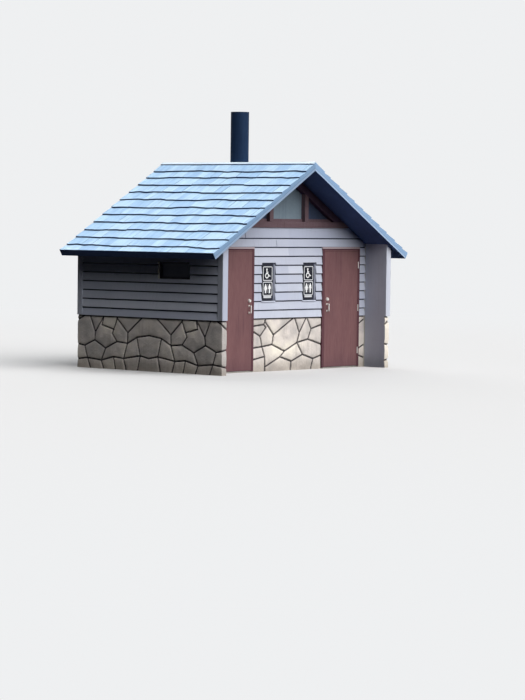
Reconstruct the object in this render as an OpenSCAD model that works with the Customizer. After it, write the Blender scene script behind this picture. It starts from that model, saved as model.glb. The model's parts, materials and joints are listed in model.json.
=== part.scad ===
// Twin-door restroom hut: moulded concrete wall panels under two roof slabs that meet at a ridge,
// a shallow porch between wing walls, a glazed front gable and one vent stack.
// Origin: centre of the footprint at ground level. +Z up, the doors face -Y.

/* [Hut] */
// Width over the outer faces of the side walls
hut_w = 4400; // [4200:10:4800]
// Depth from the front of the wing walls to the back of the rear wall
hut_d = 3370; // [2900:10:4200]
// Thickness of every wall panel
wall_t = 125; // [100:5:150]
// Height of the soffit over the outer face of a side wall
eave_z = 2093; // [2080:1:2300]
// Depth of the porch, from the front of the wings to the door wall
porch_d = 475; // [350:5:700]
// Top of the floor above the ground
floor_t = 20; // [15:1:40]
// Width of the wall strip between a side wall and the door frame beside it
strip_w = 170; // [60:5:300]

/* [Roof] */
// Pitch of both roof slabs, in degrees
pitch = 31; // [27:0.5:36]
// Thickness of a roof slab, square to its slope
roof_t = 120; // [90:2:160]
// Overhang of the roof past the wing fronts and past the rear wall
rake_over = 95; // [60:5:250]
// Overhang of the lower eave corner past a side wall
eave_over = 290; // [150:5:450]
// Width of one course of shakes down the slope
course_w = 255; // [200:5:320]
// Width of the lowest course, down to the eave
course_low = 185; // [100:5:320]
// Lower edge of the flat top course, down the slope from the ridge
course_top = 280; // [200:5:400]
// Depth of the step under each course
shake_step = 20; // [8:1:24]
// Width of the ridge cap down each slope
cap_w = 55; // [40:5:180]
// Thickness of the ridge cap
cap_t = 8; // [6:1:20]
// Bedding joint between the sloping tops of the walls and the slabs, and under cap and flashing
bed_gap = 0.3; // [0.1:0.1:0.8]

/* [Gable] */
// Underside of the beam across the gable
beam_z = 2442; // [2330:2:2500]
// Height of the beam's front face
beam_h = 104; // [80:2:150]
// Height of the glazing rebate behind and above the beam's front edge
sill_h = 46; // [20:2:70]
// Width of a gable post
post_w = 92; // [60:2:140]
// Distance of each post's centre from the middle of the hut
post_x = 457; // [350:1:600]
// Width of the sloping rake trims, square to their slope
trim_w = 125; // [80:5:160]
// How far the panes lie behind the face of the posts
pane_set = 85; // [40:1:100]
// Width of the lip of the sill and trims in front of the panes
pane_lip = 20; // [10:1:30]
// Thickness of a pane
pane_t = 10; // [6:1:16]

/* [Doors] */
// Width of the doorway between the jambs
clear_w = 914; // [760:2:960]
// Top of the door frame above the ground
frame_top = 2108; // [2060:1:2160]
// Face width of a jamb
jamb_w = 48; // [30:1:60]
// Face height of the frame's head
head_h = 45; // [30:1:60]
// How far the frame stands out of the wall on both sides
frame_out = 8; // [2:1:20]
// Depth of the stop that the leaf closes on, seen from the doorway
stop_w = 16; // [10:1:25]
// Thickness of a door leaf
leaf_t = 44; // [35:1:60]
// Gap between a leaf and its frame, and behind the leaf
leaf_gap = 5; // [5:0.5:8]
// Height of the threshold plate
sill_t = 4; // [3:1:8]

/* [Hinges] */
// Height of one hinge
hinge_h = 114; // [80:1:150]
// Radius of the knuckles
knuckle_r = 7.5; // [6:0.5:10]
// Diameter of the hinge pin
pin_d = 7; // [5:0.5:9]
// Thickness of a hinge plate
plate_t = 2; // [1.5:0.1:2.2]
// Depth of a hinge plate along the edge of the leaf
plate_d = 36; // [25:1:40]
// Radial clearance of a pin in the leaf's knuckles
pin_gap = 0.3; // [0.2:0.05:0.5]
// Gap between two knuckles, and between the knuckles and the frame
knuckle_gap = 0.5; // [0.3:0.1:1]
// Height of the low hinge's centre above the ground
hinge_low_z = 300; // [200:5:400]
// Height of the middle hinge's centre above the ground
hinge_mid_z = 1048; // [900:1:1200]
// Height of the top hinge's centre above the ground
hinge_top_z = 1797; // [1600:1:1900]

/* [Door hardware] */
// Distance of the lock and the pull from the latch edge of the leaf
backset = 70; // [55:1:90]
// Height of the lock above the ground
lock_z = 1207; // [1150:1:1400]
// Diameter of the lock's rose
lock_d = 62; // [50:1:75]
// How far the lock stands out of the leaf
lock_out = 28; // [12:1:40]
// Thickness of the lock's rose at its rim
lock_rim = 8; // [5:1:11]
// Width of the sloping ring round the lock's face
lock_slope = 9; // [4:1:14]
// Height of the pull's middle above the ground
pull_z = 1063; // [950:1:1090]
// Distance between the pull's two feet
pull_span = 114; // [90:2:150]
// Diameter of the pull's bar
pull_d = 18; // [12:1:24]
// How far the pull's bar stands out, to its centre line
pull_out = 48; // [35:1:60]
// Diameter of the round foot plates of a pull
foot_d = 34; // [26:1:44]
// Thickness of the foot plates
foot_t = 6; // [3:1:9]

/* [Signs] */
// Distance of each sign's centre from the door frame beside it, before both are set to the left
sign_inset = 361; // [260:1:420]
// How far the two signs are set to the left of the pier's middle
sign_shift = 14; // [-40:1:40]
// Width of a sign board
sign_w = 270; // [240:2:320]
// Height of a sign board
sign_h = 626; // [560:2:680]
// Underside of a sign board above the ground
sign_z = 1212; // [1100:1:1300]
// Thickness of a sign board
sign_t = 24; // [12:1:36]
// Depth of the smooth pocket that the sign sits in
pocket_t = 25; // [10:1:40]
// Margin of the pocket left of the sign
pocket_left = 4; // [2:1:60]
// Margin of the pocket right of the sign
pocket_right = 82; // [4:1:90]
// Margin of the pocket over the sign
pocket_top = 7; // [4:1:30]
// Margin of the pocket under the sign
pocket_low = 14; // [10:1:60]
// Thickness of the plates on a sign board
plaque_t = 4; // [2:0.5:8]
// Margin of the board at both sides of its plates
plaque_side = 11; // [5:1:40]
// Margin of the board over its upper plate
plaque_top = 51; // [10:1:60]
// Height of the bare strip under the lower plate
plaque_low = 70; // [60:2:160]
// Gap between the two plates
plaque_gap = 9; // [2:1:30]
// Height of the lower plate
lower_h = 245; // [150:1:260]

/* [Side windows] */
// Distance of the window's front edge from the front of the wing
win_y = 747; // [700:1:1200]
// Width of a side window
win_w = 728; // [500:2:900]
// Height of a side window
win_h = 283; // [200:1:300]
// Underside of a side window above the ground
win_z = 1568; // [1400:1:1700]
// Width of the window frame's members
win_bar = 32; // [20:1:50]
// Depth of the window frame along the wall's thickness
win_deep = 50; // [30:1:70]
// How far the window frame lies behind the wall's outer face
win_set = 55; // [10:1:60]

/* [Vent stack] */
// Distance of the stack's centre line to the right of the ridge
stack_x = 400; // [350:5:700]
// Distance of the stack's centre line behind the middle of the hut
stack_y = 310; // [0:5:700]
// Outer diameter of the stack
stack_d = 320; // [200:2:340]
// Wall thickness of the stack
stack_t = 9; // [5:1:16]
// Top of the stack above the ground
stack_top = 4452; // [4000:2:4800]
// Width of the flashing plate around the stack
flash_w = 520; // [440:5:640]
// Margin of the flat bed in the shakes round the flashing plate
flash_bed = 20; // [5:1:40]
// Thickness of the flashing plate
flash_t = 6; // [3:1:12]
// Height of the flashing's collar above its plate
collar_h = 90; // [50:5:150]
// Clearance round the stack in the roof and in the flashing's collar
stack_gap = 4; // [2:0.5:12]

/* [Hidden] */
$fn = 48;

// Distance past a face that a cutting solid runs
over = 1;
// Half sizes and the main planes
half_w = hut_w / 2;
front_y = -hut_d / 2;
rear_y = hut_d / 2;
door_y = front_y + porch_d;
inner_x = half_w - wall_t;
slope = tan(pitch);
// Underside of the roof at the middle of the hut, and the top of the slabs there
soffit_z = eave_z + half_w * slope;
ridge_z = soffit_z + roof_t / cos(pitch);
roof_y = front_y - rake_over;
roof_len = hut_d + 2 * rake_over;
eave_x = half_w + eave_over;
// Length of the slope from the ridge to the eave, and the lower edges of the courses on it
slope_len = eave_x / cos(pitch) + roof_t * tan(pitch);
lowest_edge = slope_len - course_low;
course_edges = [for (s = [lowest_edge:-course_w:course_top + course_w / 2]) s];
// Doorway and leaf
frame_w = clear_w + 2 * jamb_w;
door_x = inner_x - strip_w - frame_w / 2;
pier_w = 2 * (door_x - frame_w / 2);
frame_h = frame_top - floor_t;
frame_y = door_y - frame_out;
frame_deep = wall_t + 2 * frame_out;
leaf_w = clear_w - 2 * leaf_gap;
leaf_low = floor_t + sill_t + leaf_gap;
leaf_h = frame_top - head_h - leaf_gap - leaf_low;
rebate = leaf_t + leaf_gap;
pin_x = clear_w / 2 - leaf_gap / 2;
pin_y = frame_y - knuckle_r - knuckle_gap;
knuckles = 5;
knuckle_h = (hinge_h - (knuckles - 1) * knuckle_gap) / knuckles;
hinge_levels = [hinge_low_z, hinge_mid_z, hinge_top_z];
handle_x = clear_w / 2 - leaf_gap - backset;
// Colours as they show
siding_grey = [0.71, 0.73, 0.80];
roof_grey = [0.80, 0.85, 0.90];
trim_brown = [0.33, 0.24, 0.24];
door_brown = [0.47, 0.36, 0.37];
dark = [0.09, 0.10, 0.13];
pane_grey = [0.50, 0.56, 0.54];
pane_black = [0.05, 0.06, 0.09];
board_grey = [0.16, 0.18, 0.22];

// Soffit height at a distance x from the middle of the hut
function soffit_at(x) = soffit_z - abs(x) * slope;

// Top of a wall there, under its bedding joint
function wall_top_at(x) = soffit_at(x) - bed_gap;

// Everything under the walls' top line between two planes across the hut
module under_roof(y0, y1) {
    translate([0, y1, 0])
        rotate([90, 0, 0])
            linear_extrude(y1 - y0)
                polygon([
                    [-half_w, 0], [half_w, 0], [half_w, wall_top_at(half_w)],
                    [0, wall_top_at(0)], [-half_w, wall_top_at(half_w)]
                ]);
}

// Mirrors its children to the right half when side is 1; they are drawn for the left half
module on_side(side) {
    mirror([side > 0 ? 1 : 0, 0, 0]) children();
}

module floor_slab() {
    color("darkgray")
        difference() {
            translate([-inner_x, door_y, 0]) cube([2 * inner_x, rear_y - wall_t - door_y, floor_t]);
            for (side = [-1, 1])
                on_side(side) door_wall_foot();
            pier_foot();
            translate([stack_x, stack_y, -over])
                cylinder(d = stack_d - 2 * stack_t, h = floor_t + 2 * over);
        }
}

// Room that the outer strips of the door wall take from the floor
module door_wall_foot() {
    translate([-inner_x - over, door_y - over, -over])
        cube([strip_w + over, wall_t + over, floor_t + 2 * over]);
}

// Room that the pier between the doors takes from the floor
module pier_foot() {
    translate([-pier_w / 2, door_y - over, -over]) cube([pier_w, wall_t + over, floor_t + 2 * over]);
}

// Side wall with its wing and its window opening, drawn for the left side
module side_wall(side) {
    color(siding_grey)
        on_side(side)
            difference() {
                translate([0, rear_y, 0])
                    rotate([90, 0, 0])
                        linear_extrude(hut_d)
                            polygon([
                                [-half_w, 0], [-inner_x, 0],
                                [-inner_x, wall_top_at(inner_x)], [-half_w, wall_top_at(half_w)]
                            ]);
                translate([-half_w - over, front_y + win_y, win_z]) cube([wall_t + 2 * over, win_w, win_h]);
            }
}

module rear_wall() {
    color(siding_grey)
        intersection() {
            under_roof(rear_y - wall_t, rear_y);
            translate([-inner_x, 0, 0]) cube([2 * inner_x, rear_y + over, soffit_z + over]);
        }
}

// Strip of the door wall between a wing and its door frame
module front_strip(side) {
    color(siding_grey)
        on_side(side)
            translate([-inner_x, door_y, 0]) cube([strip_w, wall_t, frame_top]);
}

// Pier between the door frames, with the two smooth pockets for the signs
module front_pier() {
    color(siding_grey)
        difference() {
            translate([-pier_w / 2, door_y, 0]) cube([pier_w, wall_t, frame_top]);
            for (side = [-1, 1])
                translate([sign_left(side) - pocket_left, door_y - over, sign_z - pocket_low])
                    cube([
                        pocket_left + sign_w + pocket_right, pocket_t + over,
                        pocket_low + sign_h + pocket_top
                    ]);
        }
}

// Left edge of a sign board across the hut
function sign_left(side) = side * (pier_w / 2 - sign_inset) - sign_shift - sign_w / 2;

// Door wall over the frames, up to the gable beam
module front_header() {
    color(siding_grey)
        intersection() {
            under_roof(door_y, door_y + wall_t);
            translate([-inner_x, door_y, frame_top]) cube([2 * inner_x, wall_t, beam_z - frame_top]);
        }
}

// Beam across the gable: a bevelled front edge and a rebated sill behind it that carries the panes
module gable_beam() {
    bevel = 10;
    top = beam_z + beam_h;
    lip_y = door_y + pane_set - pane_lip;
    color(trim_brown)
        intersection() {
            under_roof(door_y, door_y + wall_t);
            translate([-half_w, 0, 0])
                rotate([90, 0, 90])
                    linear_extrude(hut_w)
                        polygon([
                            [door_y, beam_z], [door_y + wall_t, beam_z], [door_y + wall_t, top + sill_h],
                            [lip_y, top + sill_h], [lip_y, top],
                            [door_y + bevel, top], [door_y, top - bevel]
                        ]);
        }
}

// Post between the panes, from the beam's sill to the rake trim
module gable_post(side) {
    color(trim_brown)
        on_side(side)
            difference() {
                intersection() {
                    translate([-post_x - post_w / 2, door_y, beam_z + beam_h])
                        cube([post_w, wall_t, soffit_z]);
                    trim_opening(door_y, door_y + wall_t);
                }
                sill_room();
                pane_slot();
            }
}

// Space under the two rake trims
module trim_opening(y0, y1) {
    drop = trim_w / cos(pitch);
    translate([0, y1, 0])
        rotate([90, 0, 0])
            linear_extrude(y1 - y0)
                polygon([
                    [-half_w, 0], [half_w, 0], [half_w, eave_z - drop],
                    [0, soffit_z - drop], [-half_w, eave_z - drop]
                ]);
}

// Room that the beam's sill takes behind the lip
module sill_room() {
    translate([-half_w, door_y + pane_set - pane_lip, 0]) cube([hut_w, wall_t, beam_z + beam_h + sill_h]);
}

// Flat room that the panes take in the posts
module pane_slot() {
    translate([-half_w, door_y + pane_set, beam_z]) cube([hut_w, pane_t, soffit_z]);
}

// Sloping trim under the soffit, from the beam to the ridge line
module rake_trim(side) {
    color(trim_brown)
        on_side(side)
            difference() {
                intersection() {
                    under_roof(door_y, door_y + wall_t);
                    translate([-half_w, door_y, beam_z]) cube([half_w, wall_t, soffit_z]);
                }
                trim_opening(door_y - over, door_y + wall_t + over);
                translate([-half_w, door_y - over, 0]) cube([hut_w, wall_t + 2 * over, beam_z + beam_h]);
                sill_room();
            }
}

// One pane between two lines across the gable, under the rake trims
module gable_pane(x0, x1) {
    color(pane_grey)
        intersection() {
            trim_opening(door_y + pane_set, door_y + pane_set + pane_t);
            translate([x0, door_y, beam_z + beam_h + sill_h])
                cube([x1 - x0, wall_t, soffit_z]);
        }
}

// Point of the left slab's section: a distance down the slope from the ridge, and a depth square to it
function on_slope(s, depth) = [
    -s * cos(pitch) + depth * sin(pitch),
    ridge_z - s * sin(pitch) - depth * cos(pitch)
];

// Roof slab, drawn for the left side: mitred at the ridge, cut square at the eave. Each course of shakes
// rises out of the slab and ends in a step; the top course is flat, as the bed of the ridge cap.
module roof_slab() {
    translate([0, roof_y + roof_len, 0])
        rotate([90, 0, 0])
            linear_extrude(roof_len)
                polygon(concat(
                    [[0, soffit_z], [-eave_x, soffit_at(eave_x)], on_slope(slope_len, 0)],
                    [for (s = course_edges) each [on_slope(s, shake_step), on_slope(s, 0)]],
                    [on_slope(course_top, shake_step), on_slope(course_top, 0), [0, ridge_z]]
                ));
}

module roof_left() {
    color(roof_grey) roof_slab();
}

// Flat bed in the shakes of the right slab, under the flashing
module flashing_bed() {
    bed_w = flash_w + 2 * flash_bed;
    translate([stack_x, stack_y, ridge_z - stack_x * slope])
        rotate([0, pitch, 0])
            translate([-bed_w / 2, -bed_w / 2, -2 * shake_step]) cube([bed_w, bed_w, 2 * shake_step]);
}

// Right roof slab with the hole for the stack
module roof_right() {
    color(roof_grey)
        difference() {
            union() {
                on_side(1) roof_slab();
                flashing_bed();
            }
            translate([stack_x, stack_y, 0]) cylinder(d = stack_d + 2 * stack_gap, h = stack_top);
        }
}

// Folded cap over the ridge
module ridge_cap() {
    seat_z = ridge_z + bed_gap;
    run = cap_w * cos(pitch);
    low_z = seat_z - run * slope;
    edge_x = run + cap_t * sin(pitch);
    edge_z = low_z + cap_t * cos(pitch);
    color(roof_grey)
        translate([0, roof_y + roof_len, 0])
            rotate([90, 0, 0])
                linear_extrude(roof_len)
                    polygon([
                        [0, seat_z], [-run, low_z], [-edge_x, edge_z],
                        [0, seat_z + cap_t / cos(pitch)], [edge_x, edge_z], [run, low_z]
                    ]);
}

// Open pipe that stands on the floor and passes through the roof
module vent_stack() {
    color(dark)
        translate([stack_x, stack_y, floor_t])
            difference() {
                cylinder(d = stack_d, h = stack_top - floor_t);
                translate([0, 0, -over]) cylinder(d = stack_d - 2 * stack_t, h = stack_top);
            }
}

// Flashing: a plate on the slope with an upright collar around the stack
module stack_flashing() {
    seat_z = ridge_z - stack_x * slope + bed_gap;
    fall = flash_w / 2 * slope;
    bore_d = stack_d + 2 * stack_gap;
    color(dark)
        difference() {
            union() {
                translate([stack_x, stack_y, seat_z])
                    rotate([0, pitch, 0])
                        translate([-flash_w / 2, -flash_w / 2, 0]) cube([flash_w, flash_w, flash_t]);
                difference() {
                    translate([stack_x, stack_y, seat_z - fall])
                        cylinder(d = bore_d + 2 * flash_t, h = fall + bore_d / 2 * slope + collar_h);
                    translate([stack_x, stack_y, seat_z])
                        rotate([0, pitch, 0])
                            translate([-flash_w, -flash_w, -flash_w])
                                cube([2 * flash_w, 2 * flash_w, flash_w]);
                }
            }
            translate([stack_x, stack_y, 0]) cylinder(d = bore_d, h = stack_top);
        }
}

// Frame of a side window, drawn for the left side
module window_frame(side) {
    color(dark)
        on_side(side)
            translate([-half_w + win_set, front_y + win_y, win_z])
                difference() {
                    cube([win_deep, win_w, win_h]);
                    translate([-over, win_bar, win_bar])
                        cube([win_deep + 2 * over, win_w - 2 * win_bar, win_h - 2 * win_bar]);
                }
}

// Pane of a side window, held in the middle of its frame
module window_pane(side) {
    color(pane_black)
        on_side(side)
            translate([-half_w + win_set + win_deep / 2, front_y + win_y + win_bar, win_z + win_bar])
                translate([-pane_t / 2, 0, 0]) cube([pane_t, win_w - 2 * win_bar, win_h - 2 * win_bar]);
}

// Places its children at a doorway: drawn with the hinges on the left
module at_doorway(side) {
    on_side(side) translate([-door_x, 0, 0]) children();
}

// Frame of a doorway: two jambs and a head with a rebate for the leaf
module door_frame(side) {
    color(trim_brown)
        at_doorway(side)
            difference() {
                translate([-frame_w / 2, frame_y, floor_t]) cube([frame_w, frame_deep, frame_h]);
                translate([-clear_w / 2, frame_y - over, floor_t - over])
                    cube([clear_w, rebate + over, frame_h - head_h + over]);
                translate([-clear_w / 2 + stop_w, frame_y, floor_t - over])
                    cube([clear_w - 2 * stop_w, frame_deep + over, frame_h - head_h - stop_w + over]);
            }
}

// Metal threshold between the jambs
module threshold(side) {
    color("silver")
        at_doorway(side)
            translate([-clear_w / 2 + stop_w, frame_y + frame_out, floor_t])
                cube([clear_w - 2 * stop_w, wall_t, sill_t]);
}

module door_leaf(side) {
    color(door_brown)
        at_doorway(side)
            translate([-leaf_w / 2, frame_y, leaf_low]) cube([leaf_w, leaf_t, leaf_h]);
}

// One knuckle of a hinge, counted from the bottom
module knuckle(i) {
    translate([-pin_x, pin_y, i * (knuckle_h + knuckle_gap) - hinge_h / 2])
        cylinder(r = knuckle_r, h = knuckle_h);
}

// Strip of hinge plate behind one knuckle, from the pin to the wall's face
module knuckle_strap(i, x0) {
    translate([-pin_x + x0, pin_y, i * (knuckle_h + knuckle_gap) - hinge_h / 2])
        cube([plate_t, frame_y - pin_y + over, knuckle_h]);
}

// Halves of the hinges on the jamb: plate, three knuckles and the pin
module hinge_jamb_plates(side) {
    x0 = -leaf_gap / 2;
    color("silver")
        at_doorway(side)
            for (z = hinge_levels)
                translate([0, 0, z]) {
                    translate([-pin_x + x0, frame_y, -hinge_h / 2]) cube([plate_t, plate_d, hinge_h]);
                    for (i = [0, 2, 4]) {
                        knuckle(i);
                        knuckle_strap(i, x0);
                    }
                    translate([-pin_x, pin_y, -hinge_h / 2]) cylinder(d = pin_d, h = hinge_h);
                }
}

// Halves of the hinges on the leaf: plate and two bored knuckles
module hinge_leaf_plates(side) {
    x0 = leaf_gap / 2 - plate_t;
    bore_d = pin_d + 2 * pin_gap;
    color("silver")
        at_doorway(side)
            for (z = hinge_levels)
                translate([0, 0, z]) {
                    translate([-pin_x + x0, frame_y, -hinge_h / 2]) cube([plate_t, plate_d, hinge_h]);
                    difference() {
                        for (i = [1, 3]) {
                            knuckle(i);
                            knuckle_strap(i, x0);
                        }
                        translate([-pin_x, pin_y, -hinge_h / 2]) cylinder(d = bore_d, h = hinge_h);
                    }
                }
}

// Lock: a bevelled rose outside and a turn piece inside
module door_lock(side) {
    turn_w = 10;
    turn_h = lock_d * 2 / 3;
    color("silver")
        at_doorway(side)
            translate([handle_x, frame_y, lock_z]) {
                rotate([90, 0, 0])
                    rotate_extrude()
                        polygon([
                            [0, 0], [lock_d / 2, 0], [lock_d / 2, lock_rim],
                            [lock_d / 2 - lock_slope, lock_out], [0, lock_out]
                        ]);
                translate([0, leaf_t, 0])
                    rotate([-90, 0, 0]) {
                        cylinder(d = lock_d, h = lock_rim);
                        translate([-turn_w / 2, -turn_h / 2, lock_rim])
                            cube([turn_w, turn_h, lock_out - lock_rim]);
                    }
            }
}

// Pulls: a bar on two feet outside, and the same inside
module door_pull(side) {
    color("silver")
        at_doorway(side) {
            translate([handle_x, frame_y, pull_z]) pull_bar();
            translate([handle_x, frame_y + leaf_t, pull_z]) mirror([0, 1, 0]) pull_bar();
        }
}

// Bar of a pull with its two feet, standing out towards -Y
module pull_bar() {
    translate([0, -pull_out, -pull_span / 2]) cylinder(d = pull_d, h = pull_span);
    for (z = [-pull_span / 2, pull_span / 2])
        translate([0, 0, z]) {
            rotate([90, 0, 0]) cylinder(d = pull_d, h = pull_out);
            rotate([90, 0, 0]) cylinder(d = foot_d, h = foot_t);
            translate([0, -pull_out, 0]) sphere(d = pull_d);
        }
}

// Sign board in its pocket
module sign_board(side) {
    color(board_grey)
        translate([sign_left(side), door_y + pocket_t - sign_t, sign_z]) cube([sign_w, sign_t, sign_h]);
}

// Two plaques on a sign board, one over the other
module sign_plaques(side) {
    plaque_w = sign_w - 2 * plaque_side;
    upper_h = sign_h - plaque_low - lower_h - plaque_gap - plaque_top;
    color("black")
        translate([sign_left(side) + plaque_side, door_y + pocket_t - sign_t - plaque_t, sign_z])
            translate([0, 0, plaque_low]) {
                cube([plaque_w, plaque_t, lower_h]);
                translate([0, 0, lower_h + plaque_gap]) cube([plaque_w, plaque_t, upper_h]);
            }
}

floor_slab();
side_wall(-1);  // left_side_wall
side_wall(1);  // right_side_wall
rear_wall();
front_strip(-1);  // front_strip_left
front_strip(1);  // front_strip_right
front_pier();
front_header();
gable_beam();
gable_post(-1);  // gable_post_left
gable_post(1);  // gable_post_right
rake_trim(-1);  // rake_trim_left
rake_trim(1);  // rake_trim_right
gable_pane(-half_w, -post_x);  // gable_pane_left
gable_pane(-post_x, post_x);  // gable_pane_middle
gable_pane(post_x, half_w);  // gable_pane_right
roof_left();
roof_right();
ridge_cap();
vent_stack();
stack_flashing();
window_frame(-1);  // left_window_frame
window_frame(1);  // right_window_frame
window_pane(-1);  // left_window_pane
window_pane(1);  // right_window_pane
door_frame(-1);  // left_door_frame
door_frame(1);  // right_door_frame
threshold(-1);  // left_threshold
threshold(1);  // right_threshold
door_leaf(-1);  // left_door_leaf
door_leaf(1);  // right_door_leaf
hinge_jamb_plates(-1);  // left_hinge_jamb_plates
hinge_jamb_plates(1);  // right_hinge_jamb_plates
hinge_leaf_plates(-1);  // left_hinge_leaf_plates
hinge_leaf_plates(1);  // right_hinge_leaf_plates
door_lock(-1);  // left_door_lock
door_lock(1);  // right_door_lock
door_pull(-1);  // left_door_pull
door_pull(1);  // right_door_pull
sign_board(-1);  // left_sign_board
sign_board(1);  // right_sign_board
sign_plaques(-1);  // left_sign_plaques
sign_plaques(1);  // right_sign_plaques
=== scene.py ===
# %% [markdown]
# The object is a small restroom hut with two doors. Its walls are flat concrete panels, moulded as lap
# boards over a band of field stones, and its roof is two thick slabs moulded as rows of shakes. The packed
# model already holds every piece at its real size. This script dresses it: the moulded faces become real
# relief, the flat pieces get weathered paint, and the signs get their figures. All sizes are in metres, in
# the model's own frame: +Z is up, the doors face -Y, and the origin lies at ground level under the middle
# of the ridge.

# %% Frame and tools
import json
import math

import bmesh
import bpy
import numpy as np
from mathutils import Matrix, Vector

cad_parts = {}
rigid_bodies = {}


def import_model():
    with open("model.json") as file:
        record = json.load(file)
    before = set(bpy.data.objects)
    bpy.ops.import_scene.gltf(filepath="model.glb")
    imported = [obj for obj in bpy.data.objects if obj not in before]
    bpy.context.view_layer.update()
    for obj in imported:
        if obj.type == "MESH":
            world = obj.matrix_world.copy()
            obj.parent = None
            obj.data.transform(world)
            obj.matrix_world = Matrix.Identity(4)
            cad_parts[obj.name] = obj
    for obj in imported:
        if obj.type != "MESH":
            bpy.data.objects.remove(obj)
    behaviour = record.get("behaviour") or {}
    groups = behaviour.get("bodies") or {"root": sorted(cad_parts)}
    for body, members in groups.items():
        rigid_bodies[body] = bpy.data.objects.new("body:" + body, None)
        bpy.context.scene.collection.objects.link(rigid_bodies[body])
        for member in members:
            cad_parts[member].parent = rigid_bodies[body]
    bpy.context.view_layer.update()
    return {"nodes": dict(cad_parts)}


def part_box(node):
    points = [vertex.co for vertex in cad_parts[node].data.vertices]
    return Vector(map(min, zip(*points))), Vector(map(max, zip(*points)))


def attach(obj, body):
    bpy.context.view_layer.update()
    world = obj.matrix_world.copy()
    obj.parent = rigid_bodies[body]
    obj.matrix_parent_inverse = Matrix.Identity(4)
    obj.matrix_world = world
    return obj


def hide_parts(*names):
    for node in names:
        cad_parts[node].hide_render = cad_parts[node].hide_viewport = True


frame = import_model()
nodes = frame["nodes"]
print("nodes in the frame:", len(nodes))


# %% [markdown]
# The camera comes first. A long lens from 48 m away fits the photo's nearly parallel lines. The view turns
# 48.7 degrees from the front, looks down a little and is tilted by less than one degree, as a hand-held
# picture is. The three unit vectors of the camera are written out, so that each angle can be changed by
# itself.

# %% Camera
view_turn = math.radians(48.693)
view_down = math.radians(2.713)
view_roll = math.radians(0.719)
camera_place = Vector((-36.105, -32.362, 2.604))
lens_mm = 191.13
sensor_mm = 36.0

ahead = Vector((
    math.sin(view_turn) * math.cos(view_down),
    math.cos(view_turn) * math.cos(view_down),
    -math.sin(view_down),
))
level_right = Vector((math.cos(view_turn), -math.sin(view_turn), 0))
level_up = level_right.cross(ahead)
right = level_right * math.cos(view_roll) + level_up * math.sin(view_roll)
up = level_up * math.cos(view_roll) - level_right * math.sin(view_roll)

camera_data = bpy.data.cameras.new("camera")
camera_data.sensor_fit = "HORIZONTAL"
camera_data.sensor_width = sensor_mm
camera_data.lens = lens_mm
camera_data.clip_end = 400
camera = bpy.data.objects.new("camera", camera_data)
camera.matrix_world = Matrix((
    (right.x, up.x, -ahead.x, camera_place.x),
    (right.y, up.y, -ahead.y, camera_place.y),
    (right.z, up.z, -ahead.z, camera_place.z),
    (0, 0, 0, 1),
))
bpy.context.scene.collection.objects.link(camera)
bpy.context.scene.camera = camera
bpy.context.scene.view_settings.view_transform = "Standard"
print("camera looks along", [round(v, 3) for v in ahead])


# %% [markdown]
# Light, floor and finishes are all made of nodes. A small helper makes a node, sets it up and links it in
# one line, so that what follows reads like a recipe. Two more give the steps that come back most often: a
# sum or product of two values, and an eased step between two of them.

# %% Helpers for nodes
def add(tree, kind, inputs=None, **settings):
    """Adds a node with these settings. An input that is a socket is linked, any other is written in."""
    made = tree.nodes.new(kind)
    for key, value in settings.items():
        setattr(made, key, value)
    for key, value in (inputs or {}).items():
        if isinstance(value, bpy.types.NodeSocket):
            tree.links.new(value, made.inputs[key])
        else:
            made.inputs[key].default_value = value
    return made


def maths(tree, how, a, b, clamp=False):
    """Result of a two-value Math node."""
    return add(tree, "ShaderNodeMath", {0: a, 1: b}, operation=how, use_clamp=clamp).outputs[0]


def spread(tree, value, low, high):
    """Eases a value from 0 at low to 1 at high."""
    return add(tree, "ShaderNodeMapRange", {"Value": value, "From Min": low, "From Max": high},
               interpolation_type="SMOOTHSTEP").outputs["Result"]


print("helpers for nodes:", [helper.__name__ for helper in (add, maths, spread)])


# %% [markdown]
# In the photo the open sky lights the roof, and a wide patch of sky in front lights the door wall, while
# the left wall lies in shade and is darkest under its eave. Four wide suns do the same here: one from the
# front and a little from the right, one from overhead, a faint high one from the left, whose light the eave
# holds off the wall's top, and one from behind on the right, so that the hut can be looked at from all
# sides. A wide sun gives soft shadows and the same light all over the hut, which a lamp close by would not.

# %% Suns
def wide_sun(name, turn, height, width, strength, colour):
    """Sun lamp from the side turn, in degrees from -Y towards +X, at a height in degrees over the ground."""
    data = bpy.data.lights.new(name, "SUN")
    data.angle = math.radians(width)
    data.energy = strength * math.pi
    data.color = colour
    lamp = bpy.data.objects.new(name, data)
    a, h = math.radians(turn), math.radians(height)
    towards = Vector((math.sin(a) * math.cos(h), -math.cos(a) * math.cos(h), math.sin(h)))
    lamp.rotation_euler = towards.to_track_quat("Z", "Y").to_euler()
    bpy.context.scene.collection.objects.link(lamp)


wide_sun("front_light", 5, 42, 71, 1.34, (1.0, 0.99, 0.985))
wide_sun("top_light", 0, 84, 70, 0.22, (0.93, 0.97, 1.0))
wide_sun("side_light", -90, 60, 46, 0.02, (0.85, 0.93, 1.0))
wide_sun("back_light", 140, 35, 60, 0.45, (1.0, 1.0, 1.0))


# %% [markdown]
# The sky has two faces. What the camera sees is an even pale grey, as in a studio, so nothing behind the
# hut draws the eye. What lights the hut is far weaker, because the suns already do that work, and a bright
# sky would fill the shade under the eaves. The light path tells the two kinds of ray apart.

# %% Sky
def seen_or_mirrored(tree):
    """1 where a ray comes from the camera, a mirror or clear glass, 0 where it only carries soft light."""
    path = add(tree, "ShaderNodeLightPath").outputs
    first = maths(tree, "MAXIMUM", path["Is Camera Ray"], path["Is Glossy Ray"])
    return maths(tree, "MAXIMUM", first, path["Is Transmission Ray"])


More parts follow.
